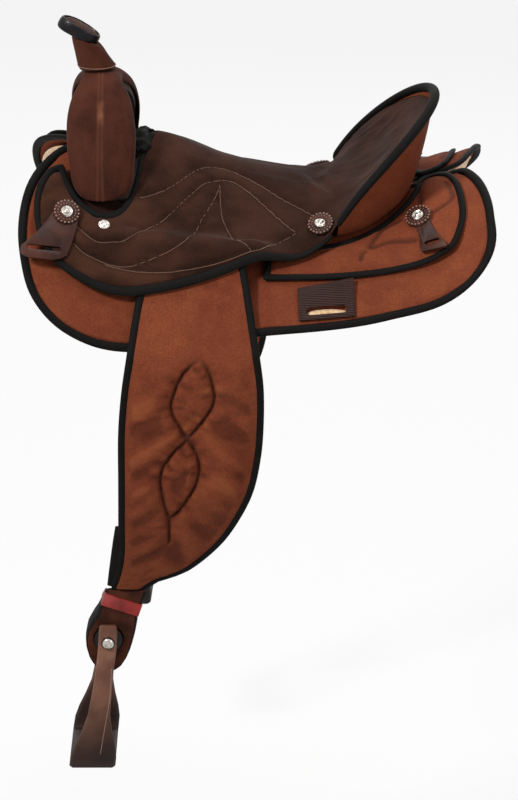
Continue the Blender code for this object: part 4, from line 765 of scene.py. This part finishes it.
# ---- Cantle ------------------------------------------------------------------------------
# The back of the cantle is covered with the skirts' cordura, and a round black roll finishes
# the rim between it and the suede.
back = dressed("cantle_back", cordura, "cordura", levels=2)
tucked(seat, bound(back, "cantle_binding", 1.6 * MM))


# ---- Fork cover and horn -----------------------------------------------------------------
# Suede drawn over the fork with a raised seam down each side; the horn is wrapped in the same
# leather, with a brown cap and a glossy black roll round it.
def rough_out(s, p):
    nap = s.grain(p, 1400.0, 2.0)
    brushed = s.grain(p, 32.0, 5.0, (1.0, 1.0, 0.5))
    broad = s.grain(p, 10.0, 3.0)
    seam = s.kept("seam")
    cover = (brushed * 0.7 + broad * 0.3).between(0.32, 0.68).tint("#26110b", "#4a261b")
    cover = (nap.between(0.4, 0.7) * 0.42).tint(cover, "#65392a")
    # Painted highlight along the raised seams.
    cover = (seam * 0.28).tint(cover, "#6f422f")
    # High on the fork's sides the leather is rubbed pale beside the seam.
    rear, tall = s.along(p), s.height(p)
    rubbed = rear.between(-0.2045, -0.1985) * (1.0 - rear.between(-0.1955, -0.1905)) \
        * tall.between(0.150, 0.165) * (1.0 - tall.between(0.178, 0.190))
    cover = (rubbed * brushed.between(0.35, 0.6) * 0.55).tint(cover, "#8f5f45")
    return {"Base Color": cover, "height": (0.0005, nap * 0.5 + brushed * 0.5)}


swell_suede = finish_of("swell_suede", rough_out, Roughness=0.9, Sheen_Weight=0.06,
                        Sheen_Roughness=0.4, Specular_IOR_Level=0.1)
SEAM_APART, SEAM_WIDE, SEAM_RISE, SEAM_STARTS = 2.6 * MM, 1.5 * MM, 1.0 * MM, 20 * MM
LOWER_HEIGHTS, FOOT_HEIGHTS = (0.085, 0.190), (0.055, 0.105)
LOWER_REAR, FOOT_REAR, FOOT_FRONT, FOOT_RUN = 5 * MM, 9 * MM, 7 * MM, 20 * MM
swell = dressed("swell_cover", swell_suede, "leather", levels=4)
low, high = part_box("swell_cover")
middle = (low.x + high.x) / 2
co, way = points_of(swell), normals_of(swell)
across = co[:, 0] - middle
ridge = np.exp(-((np.abs(across) - SEAM_APART) / SEAM_WIDE)**2) * (np.abs(way[:, 0]) < 0.6)
ridge *= np.abs(co[:, 1]) > SEAM_STARTS
wave = np.array([noise.noise(Vector(c) * 22.0) for c in co])
lower = 1 - smooth(*LOWER_HEIGHTS, co[:, 2])
deep = 1 - smooth(*FOOT_HEIGHTS, co[:, 2])
co = co + way * ((ridge + wave) * SEAM_RISE)[:, None]
co[:, 0] += np.where(across > 0, lower * LOWER_REAR + deep * FOOT_REAR, -deep * FOOT_FRONT) \
    * np.minimum(1, np.abs(across) / FOOT_RUN)
put_points(swell, co)
# The raised seams are marked for the painted highlight in the suede's finish.
marked(swell, "seam", ridge)


def rolled_edge(name, path, outs, finish, slot, width, thick=0.0, closed=False, swell=None):
    """A rolled binding along a path; outs points away from the panel's face at each point, and
    swell gives the roll's own thickness there."""
    turns = 10
    path = [Vector(p) for p in path]
    build = bmesh.new()
    rings = []
    last = len(path) - 1
    for k, point in enumerate(path):
        before = path[k - 1] if closed or k else path[0]
        after = path[(k + 1) % len(path)] if closed or k < last else path[-1]
        along = (after - before).normalized()
        out = Vector(outs[k]).normalized()
        across = along.cross(out).normalized()
        depth = (swell[k] if swell else thick) / 2
        ring = []
        for j in range(turns):
            angle = 2 * math.pi * j / turns
            ring.append(build.verts.new(point + across * (math.cos(angle) * width / 2)
                                        + out * (math.sin(angle) * depth)))
        rings.append(ring)
    for a, b in zip(rings, rings[1:] + (rings[:1] if closed else [])):
        for j in range(turns):
            build.faces.new((a[j], b[j], b[(j + 1) % turns], a[(j + 1) % turns]))
    if not closed:
        build.faces.new(rings[0])
        build.faces.new(rings[-1][::-1])
    bmesh.ops.recalc_face_normals(build, faces=build.faces)
    return piece_of(name, build, finish, slot)


def horn_hide(s, p):
    grain = s.node("ShaderNodeTexVoronoi", Vector=p, Scale=900.0)
    broad = s.grain(p, 40.0, 4.0)
    return {"Base Color": broad.between(0.3, 0.7).tint("#21100c", "#41241a"),
            "Roughness": 0.55 + 0.3 * broad, "height": (0.0003, grain)}


horn_leather = finish_of("horn_leather", horn_hide, Specular_IOR_Level=0.1)
black_leather = plain_of("black_leather", "#080606", "#14100f", (900.0, 2.0), (80.0, 4.0), 0.0002,
                         rough=(0.18, 0.3), Coat_Weight=0.1, Specular_IOR_Level=0.15)
NECK_FOOT, NECK_TALL, NECK_RAISED = 0.212, 0.050, 0.004
NECK_AXIS, NECK_LEAN, WELT_HEIGHT = -0.2065, 0.0085, 0.2205
HORN_ENDS, HORN_NARROWS, HORN_DIP = (-0.259, -0.199), 0.62, 3 * MM
neck = dressed("horn_neck", swell_suede, "leather", levels=2)
co = points_of(neck)
share = np.clip((co[:, 2] - NECK_FOOT) / NECK_TALL, 0, 1)
axis = NECK_AXIS - NECK_LEAN * share
co[:, 0] = axis + (co[:, 0] - axis) * (1.16 + 0.34 * share)
co[:, 1] *= 1.0 + 0.25 * share
co[:, 2] += NECK_RAISED * share
put_points(neck, co)
cap = dressed("horn_cap", horn_leather, "leather", bevel=1.0 * MM, levels=1)
band = plumped(dressed("horn_band", black_leather, "binding", levels=2), 0.8 * MM)
for piece in (cap, band):
    co = points_of(piece)
    co[:, 1] *= HORN_NARROWS
    front = smooth(0.3, 1.0, (HORN_ENDS[1] - co[:, 0]) / (HORN_ENDS[1] - HORN_ENDS[0]))
    co[:, 2] -= HORN_DIP * front**2
    put_points(piece, co)
co = points_of(neck)
ring = co[np.abs(co[:, 2] - WELT_HEIGHT) < 1.5 * MM]
middle_x, half_x = (ring[:, 0].max() + ring[:, 0].min()) / 2, np.ptp(ring[:, 0]) / 2
half_y = np.ptp(ring[:, 1]) / 2
foot = [Vector((middle_x + half_x * math.cos(t), half_y * math.sin(t), WELT_HEIGHT))
        for t in np.linspace(0, 2 * math.pi, 40, endpoint=False)]
outs = [Vector((p.x - middle_x, p.y, 0)) for p in foot]
welt = rolled_edge("horn_welt", foot, outs, brown_thread, "leather", width=1.3 * MM,
                   thick=1.3 * MM, closed=True)
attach(welt, "saddle")


# ---- Dee straps, rosettes and conchos ----------------------------------------------------
# Burgundy-brown strap leather, polished, with a slot for a strap's end; scalloped rosettes
# carry domed silver conchos whose screws go into the tree.
strap_leather = plain_of("strap_leather", "#29130e", "#48261c", (700.0, 3.0), (28.0, 4.0), 0.00025,
                         rough=(0.24, 0.3), Coat_Weight=0.04, Coat_Roughness=0.3,
                         Specular_IOR_Level=0.16)


def cast_silver(s, p):
    fine = s.grain(p, 500.0, 3.0)
    dark = s.grain(p, 260.0, 2.0)
    return {"Base Color": dark.between(0.30, 0.55).tint("#908b84", "#bdb8b0"),
            "Roughness": 0.26 + 0.12 * fine}


silver = finish_of("concho_silver", cast_silver, Metallic=1.0)


def raised_stamp(s, p):
    worn = s.grain(p, 300.0, 2.0)
    return {"Base Color": worn.tint("#6d4c3d", "#b59682")}


stamped = finish_of("rosette_stamping", raised_stamp, Roughness=0.35, Specular_IOR_Level=0.4)
ROSETTE_STUDS = ((0.87, 20, 1.5 * MM), (0.64, 18, 0.8 * MM))
CONCHO_TURNS = 48
CONCHO_FORM = ((0.0, 1.0), (0.20, 0.98), (0.36, 0.86), (0.44, 0.66), (0.48, 0.46), (0.56, 0.44),
               (0.62, 0.56), (0.70, 0.60), (0.78, 0.52), (0.83, 0.36), (0.88, 0.34), (0.92, 0.44),
               (0.97, 0.42), (1.0, 0.28), (1.0, 0.0))


def studs(name, rosette):
    """Rings of small raised points on a rosette's face."""
    centre, out, radius = lying(rosette)
    build = bmesh.new()
    turn = out.to_track_quat("Z", "Y").to_matrix().to_4x4()
    for share, count, size in ROSETTE_STUDS:
        for k in range(count):
            angle = 2 * math.pi * k / count
            place = Matrix.Translation(centre) @ turn @ Matrix.Translation(
                (radius * share * math.cos(angle), radius * share * math.sin(angle), -0.2 * MM))
            bmesh.ops.create_icosphere(build, subdivisions=1, radius=size, matrix=place)
    piece_of(name, build, stamped, "strap", "saddle", soft=False)


def cast_concho(node):
    """A domed concho with a roped edge, turned round its screw; its post stays hidden."""
    co = points_of(frame["nodes"][node])
    middle = co.mean(axis=0)
    ways = np.linalg.svd(co - middle, full_matrices=False)[2]
    spans = np.ptp((co - middle) @ ways.T, axis=0)
    alike = min((abs(spans[a] - spans[b]), 3 - a - b) for a, b in ((0, 1), (0, 2), (1, 2)))
    out = ways[alike[1]] if ways[alike[1]][2] > 0 else -ways[alike[1]]
    reach = (co - middle) @ out
    far = np.linalg.norm(co - middle - np.outer(reach, out), axis=1)
    radius = far.max()
    base = reach[far > 0.9 * radius].min()
    rise = reach.max() - base
    centre, out = Vector(middle), Vector(out)
    build = bmesh.new()
    turn = out.to_track_quat("Z", "Y").to_matrix()
    rings = []
    for share, height in CONCHO_FORM:
        ring = []
        for k in range(CONCHO_TURNS if share else 1):
            angle = 2 * math.pi * k / CONCHO_TURNS
            rope = 1 + (0.035 * math.cos(16 * angle) if share > 0.9 else 0.0)
            spot = Vector((radius * share * rope * math.cos(angle),
                           radius * share * rope * math.sin(angle), rise * height))
            ring.append(build.verts.new(centre + out * base + turn @ spot))
        rings.append(ring)
    for a, b in zip(rings, rings[1:]):
        for k in range(CONCHO_TURNS):
            quad = [a[k % len(a)], b[k], b[(k + 1) % CONCHO_TURNS], a[(k + 1) % len(a)]]
            build.faces.new(list(dict.fromkeys(quad)))
    build.faces.new(rings[-1][::-1])
    bmesh.ops.recalc_face_normals(build, faces=build.faces)
    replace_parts(piece_of(node + "_cast", build, silver, "silver", "saddle"), node)


for tag, side in SIDES:
    for kind in ("front", "rear"):
        dressed(kind + "_dee_" + tag, strap_leather, "strap", kind + "_dee_" + tag + "_body",
                bevel=0.9 * MM)
    for kind in ("front", "rear", "seat"):
        rosette = dressed(kind + "_rosette_" + tag, strap_leather, "strap", bevel=0.4 * MM)
        studs(kind + "_stamping_" + tag, rosette)
    for kind in ("front", "rear", "seat", "screw"):
        cast_concho(kind + "_concho_" + tag)


# ---- Fenders -----------------------------------------------------------------------------
# Long padded cordura panels that hang from the bars, quilted in two crossing leaves, with a
# black rolled edge down both sides. They bend over the skirt's edge.
LEAVES = (((-58, 0), (-83, -25), (-97, -60), (-96, -82), (-80, -112), (-66, -136),
           (-60, -158), (-64, -184), (-82, -218), (-103, -242)),
          ((-58, 0), (-46, -20), (-39, -48), (-42, -70), (-60, -98), (-76, -118),
           (-97, -140), (-112, -166), (-114, -190), (-108, -222), (-103, -242), (-103, -275)))
joints = {j["name"]: j for j in frame["joints"]}
lift = joints["fender_lift_near"]["pos_m"]
FENDER_OUT, FOLD = -lift[1], lift[2]
FENDER_RISE, FENDER_LEAN, FENDER_WALL, FOLD_ROUND = 0.107, 0.7536, 5.2 * MM, 5 * MM
EDGE, EDGE_THICK, EDGE_SUNK = 12 * MM, 7.4 * MM, 1.6 * MM
PANEL_PUFF, PUFF_RISE, PANEL_WIDTH = 5.5 * MM, 14 * MM, 0.2
LEAF_PUFF, LEAF_RISE, LEAF_REACH = 3 * MM, 9 * MM, 38 * MM
SEAM_DEEP, SEAM_HALF = 5 * MM, 2.6 * MM
PUCKER_DEEP, PUCKER_GRAIN, PUCKER_REACH = 4.2 * MM, (95, 22), 17 * MM
FOLD_DEEP, FOLD_GRAIN, FOLD_LEAN = 5 * MM, (9, 46), math.radians(33)


def width_at(nodes, height, axis=0):
    """The lowest and highest x, or y, where the nodes cross a height."""
    found = []
    for node in nodes:
        solid = frame["nodes"][node]
        co = points_of(solid)
        for a, b in ((0, 1), (1, 2), (2, 0)):
            ends = np.array([[p.vertices[a], p.vertices[b]] for p in solid.data.polygons])
            one, two = co[ends[:, 0]], co[ends[:, 1]]
            over = (one[:, 2] - height) * (two[:, 2] - height) < 0
            one, two = one[over], two[over]
            share = (height - one[:, 2]) / (two[:, 2] - one[:, 2])
            found.append(one[:, axis] + (two[:, axis] - one[:, axis]) * share)
    found = np.concatenate(found)
    return found.min(), found.max()


def run_along(points, line):
    """Where along a flat line each flat point lies nearest to."""
    best, run_at, gone = np.full(len(points), 1e9), np.zeros(len(points)), 0.0
    for a, b in zip(line, line[1:]):
        run = b - a
        long = np.linalg.norm(run)
        share = np.clip(((points - a) @ run) / max(1e-12, run @ run), 0, 1)
        far = np.linalg.norm(points - a - share[:, None] * run, axis=1)
        run_at = np.where(far < best, gone + share * long, run_at)
        best = np.minimum(best, far)
        gone += long
    return run_at


def out_at(height):
    """How far out the fender's face lies at a height, round the bend over the skirt."""
    over = (height - FOLD) * FENDER_LEAN
    return FENDER_OUT - 0.5 * (over + np.sqrt(over**2 + FOLD_ROUND**2))


FENDER_NODES = ("fender_top_near", "fender_near", "fender_binding_near")
fender_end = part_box("fender_near")[0].z - 2 * MM
levels_down = np.linspace(FOLD + FENDER_RISE, fender_end, 60)
widths = np.array([width_at(FENDER_NODES, h) for h in levels_down])
COLUMNS, ROWS = 76, 150


def edges_at(height, inset=0.0):
    """The fender's front and rear edges, in x, at each height, drawn in by inset."""
    front, rear = (np.interp(-height, -levels_down, widths[:, k]) for k in (0, 1))
    return front + inset, rear - inset


def fender_sheet(inset):
    """The outer face as a grid, inset from both edges."""
    bpy.ops.object.select_all(action="DESELECT")
    bpy.ops.mesh.primitive_grid_add(x_subdivisions=COLUMNS, y_subdivisions=ROWS, size=1.0)
    piece = bpy.context.object
    co = points_of(piece)
    u, v = co[:, 0] + 0.5, 0.5 - co[:, 1]
    height = (FOLD + FENDER_RISE) + (fender_end + 2 * MM - FOLD - FENDER_RISE) * v
    left, right = edges_at(height, inset)
    x = left + (right - left) * u
    put_points(piece, np.stack([x, -out_at(height), height], axis=1))
    return piece, u


panel, u = fender_sheet(EDGE * 0.72)
panel.name = "fender_panel_near"
co = points_of(panel)
side_gap = np.minimum(u, 1 - u) * PANEL_WIDTH
puff = PANEL_PUFF * (1 - np.exp(-side_gap / PUFF_RISE)) * smooth(0.0, 0.05, FOLD - co[:, 2])
co[:, 1] -= puff
put_points(panel, co)
wall = panel.modifiers.new("wall", "SOLIDIFY")
wall.thickness = FENDER_WALL
wall.offset = -1.0 if panel.data.polygons[0].normal.y < 0 else 1.0
apply_all(panel)
leaves = [leaf + np.array([0.0, FOLD]) for leaf in traced(LEAVES)]
co, way = points_of(panel), normals_of(panel)
flat = co[:, [0, 2]]
sewn = np.min([distance_to(flat, leaf) for leaf in leaves], axis=0)
first_x, last_x = edges_at(co[:, 2])
gap = np.minimum(np.minimum(co[:, 0] - first_x, last_x - co[:, 0]), co[:, 2] - fender_end)
held = (way[:, 1] > -0.25) | (sewn < 2.0 * MM) | (co[:, 2] > FOLD - 0.004) | (gap < 1.2 * EDGE)
filled_out(panel, held, pressure=9.0, cap=6 * MM, growth=0.02)
co, way = points_of(panel), normals_of(panel)
face = (way[:, 1] < -0.2) * smooth(-0.002, 0.02, FOLD - co[:, 2])
press = np.exp(-(sewn / SEAM_HALF)**2) * face
puckers = np.zeros(len(co))
for k, leaf in enumerate(leaves):
    away, run = distance_to(flat, leaf), run_along(flat, leaf)
    ripple = np.array([noise.noise(Vector((r * PUCKER_GRAIN[0], k * 5.0, a * PUCKER_GRAIN[1])))
                       for r, a in zip(run, away)])
    puckers += ripple * np.exp(-(away / PUCKER_REACH)**2) * smooth(1 * MM, 6 * MM, away)
middle = (first_x + last_x) / 2
sideways = np.abs(co[:, 0] - middle)
along = -sideways * math.cos(FOLD_LEAN) + co[:, 2] * math.sin(FOLD_LEAN)
over = sideways * math.sin(FOLD_LEAN) + co[:, 2] * math.cos(FOLD_LEAN)
folds = np.array([noise.noise(Vector((a * FOLD_GRAIN[0], 7.0 + (x > m), o * FOLD_GRAIN[1])))
                  for a, o, x, m in zip(along, over, co[:, 0], middle)])
folds *= smooth(4 * MM, 26 * MM, sewn) * smooth(0.0, 0.10, FOLD - co[:, 2])
bulge = (1 - np.exp(-(sewn / LEAF_RISE)**1.5)) * np.exp(-(sewn / LEAF_REACH)**2)
inside = smooth(EDGE, EDGE + 14 * MM, gap)
relief = (puckers * PUCKER_DEEP + folds * FOLD_DEEP) * inside
co[:, 1] += press * SEAM_DEEP - face * (relief + bulge * LEAF_PUFF * inside)
put_points(panel, co)
# Painted shade in the seams and the hollows of the quilting, and painted highlight on its ridges,
# are marked for the cloth's finish.
press = np.clip(press + face * smooth(0.1 * MM, 1.6 * MM, -relief) * 0.75, 0, 1)
marked(panel, "ridge", face * smooth(0.2 * MM, 1.8 * MM, relief))
marked(panel, "seam", press)
only(panel)
bpy.ops.object.shade_smooth_by_angle(angle=math.radians(60))

heights = np.linspace(FOLD + FENDER_RISE, fender_end + 3 * MM, 110)
left, right = edges_at(heights, EDGE * 0.5)
foot = [(x, heights[-1]) for x in np.linspace(left[-1], right[-1], 8)[1:-1]]
edge_path = [Vector((x, -out_at(h) + EDGE_SUNK, h))
             for x, h in [*zip(left, heights), *foot, *zip(right[::-1], heights[::-1])]]
edge_outs = []
for p in edge_path:
    bend = (out_at(p.z + MM) - out_at(p.z - MM)) / (2 * MM)
    edge_outs.append(Vector((0.0, -1.0, -bend)).normalized())
binding = rolled_edge("fender_edge_near", edge_path, edge_outs, tape, "binding",
                      width=EDGE * 0.92, thick=EDGE_THICK)
rows = [laid(panel, [(x, 0.0, z) for x, z in leaf if z < FOLD - 0.002], Vector((0, 1, 0)), 0.6)
        for leaf in leaves]
sewing = stitches("fender_thread_near", rows, dark_thread, "cordura")
settle(panel, cordura, "cordura")

# The panel's lower front edge turns back on itself in a broad black fold.
fold_run = chain([(-0.1670, -0.2600, -0.376), (-0.1710, -0.2605, -0.400),
                  (-0.1765, -0.2600, -0.440), (-0.1800, -0.2580, -0.468)], 6 * MM)
fold = rolled_edge("fender_fold_near", fold_run, [Vector((0, -1, 0))] * len(fold_run), tape,
                   "binding", width=24 * MM, thick=8 * MM)

off_axis = Vector(joints["fender_lift_off"]["axis"])
far_turn = Vector((1, 0, 0)).rotation_difference(off_axis).to_matrix()
pivot = Vector(joints["fender_swing_off"]["pos_m"])
to_off = (Matrix.Translation(pivot) @ far_turn.to_4x4() @ Matrix.Translation(-pivot)
          @ Matrix.Diagonal((1.0, -1.0, 1.0, 1.0)))


def handed(piece, name, matrix):
    """The same piece for the off side."""
    made = bpy.data.objects.new(name, piece.data.copy())
    scene.collection.objects.link(made)
    made.data.transform(matrix)
    made.data.flip_normals()
    if "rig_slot" in piece:
        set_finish(made, piece["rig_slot"])
    return made


far_fold = handed(fold, "fender_fold_off", to_off)
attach(fold, "fender_near_body")
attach(far_fold, "fender_off_body")
for piece, stands_for in ((panel, ("fender_top_", "fender_")), (binding, ("fender_binding_",)),
                          (sewing, ())):
    pair = (("near", piece, Matrix.Identity(4)),
            ("off", handed(piece, piece.name.replace("near", "off"), to_off), to_off))
    for tag, made, matrix in pair:
        middle = Vector((lift[0], lift[1], FOLD))
        start = matrix @ (middle + Vector((0, 0, 0.012)))
        end = matrix @ (middle - Vector((0, 0, 0.012)))
        if stands_for:
            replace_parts(made, *(node + tag for node in stands_for))
        "fender_top_" + tag + "_body"
        "fender_" + tag + "_body"
        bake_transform(made)


# ---- Necks, loops and hobble straps ------------------------------------------------------
# Each fender narrows to a neck that folds round the stirrup's sleeve and is sewn to itself;
# a red leather strap binds it.
red_leather = plain_of("red_leather", "#5e1512", "#8e2621", (600.0, 3.0), (50.0, 4.0), 0.0002,
                       rough=(0.3, 0.3), spread=(0.3, 0.75), Specular_IOR_Level=0.3)
loop_cordura = plain_of("loop_cordura", "#2b140c", "#4a2517", (800.0, 2.0), (40.0, 3.0), 0.0003,
                        Roughness=0.85, Specular_IOR_Level=0.12)
for tag, side in SIDES:
    body = "fender_" + tag + "_body"
    neck = dressed("stirrup_leather_" + tag, loop_cordura, "cordura", body, bevel=1.2 * MM)
    low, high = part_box("stirrup_leather_" + tag)
    rings = np.linspace(high.z - 3 * MM, low.z + 2 * MM, 34)
    spans = [width_at(["stirrup_leather_" + tag], z) for z in rings]
    depths = [width_at(["stirrup_leather_" + tag], z, 1) for z in rings]
    skew = [((a + b) / 2, b - a + 1.5 * MM) for a, b in depths]
    loop = [Vector((a, y, z)) for (a, b), z, (y, w) in zip(spans, rings, skew)]
    loop += [Vector((b, y, z)) for (a, b), z, (y, w) in zip(spans[::-1], rings[::-1], skew[::-1])]
    outs = [Vector((0, side, 0))] * len(loop)
    wide = [w for y, w in skew] + [w for y, w in skew[::-1]]
    roll = rolled_edge("loop_edge_" + tag, loop, outs, tape, "binding", width=7 * MM, swell=wide)
    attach(roll, body)
    dressed("hobble_strap_" + tag, red_leather, "red_leather", body, bevel=0.7 * MM)


# ---- Stirrups ----------------------------------------------------------------------------
# Bent frames covered in brown leather, sewn down the middle of each branch, with a dark
# tread cover and a domed silver bolt.
def stirrup_hide(s, p):
    pores = s.grain(p, 600.0, 3.0)
    broad = s.grain(p, 24.0, 4.0)
    lower = 1.0 - s.height(p).between(-0.72, -0.56)
    hide = broad.between(0.3, 0.7).tint("#644032", "#855d4b")
    dark = broad.between(0.3, 0.7).tint("#170d09", "#2b1a14")
    return {"Base Color": lower.tint(hide, dark), "Roughness": 0.35 + 0.3 * broad,
            "height": (0.0003, pores)}


stirrup_leather = finish_of("stirrup_hide", stirrup_hide, Specular_IOR_Level=0.18)
TREAD_PORES = (400.0, 3.0)
tread_leather = plain_of("tread_hide", "#1d1412", "#33231f", TREAD_PORES, TREAD_PORES, 0.0005,
                         Roughness=0.6)
HEAD_SIZE, HEAD_SUNK = (8.2 * MM, 4.4 * MM, 8.2 * MM), 3 * MM
STITCH_RUN = ((-0.1855, -0.575), (-0.189, -0.62), (-0.196, -0.66), (-0.203, -0.70))
pale_thread = thread_of("pale_thread", "#a5826c", "#c6a48c", 0.6, twisted=False)


for tag, side in SIDES:
    body = "stirrup_" + tag + "_body"
    bent = dressed("stirrup_frame_" + tag, stirrup_leather, "stirrup", body, bevel=1.2 * MM)
    branch = [Vector((x, 0, z)) for x, z in STITCH_RUN]
    if side > 0:
        branch = [to_off @ p for p in branch]
    seam = laid(bent, [(x, 0.0, z) for x, y, z in chain(branch, 3 * MM)],
                Vector((0, -side, 0)), 0.6)
    sewing = stitches("stirrup_stitching_" + tag, [seam], pale_thread, "stirrup",
                      length=2.6 * MM, pitch=3.4 * MM, thick=0.8 * MM)
    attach(sewing, body)
    dressed("stirrup_tread_" + tag, tread_leather, "dark_leather", body, bevel=0.8 * MM)
    dressed("stirrup_bolt_" + tag, black_leather, "dark_leather", body, bevel=0.6 * MM)
    low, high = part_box("stirrup_bolt_" + tag)
    for end, way in ((low.y, -1.0), (high.y, 1.0)):
        place = ((low.x + high.x) / 2, end - way * HEAD_SUNK, (low.z + high.z) / 2)
        piece_of("bolt_head_" + tag + ("_out" if way == side else "_in"),
                 ball(place, HEAD_SIZE, 32, 16), silver, "silver", body)


# ---- Size --------------------------------------------------------------------------------
# The dressed saddle's box is kept beside the frame's own.
low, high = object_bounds()
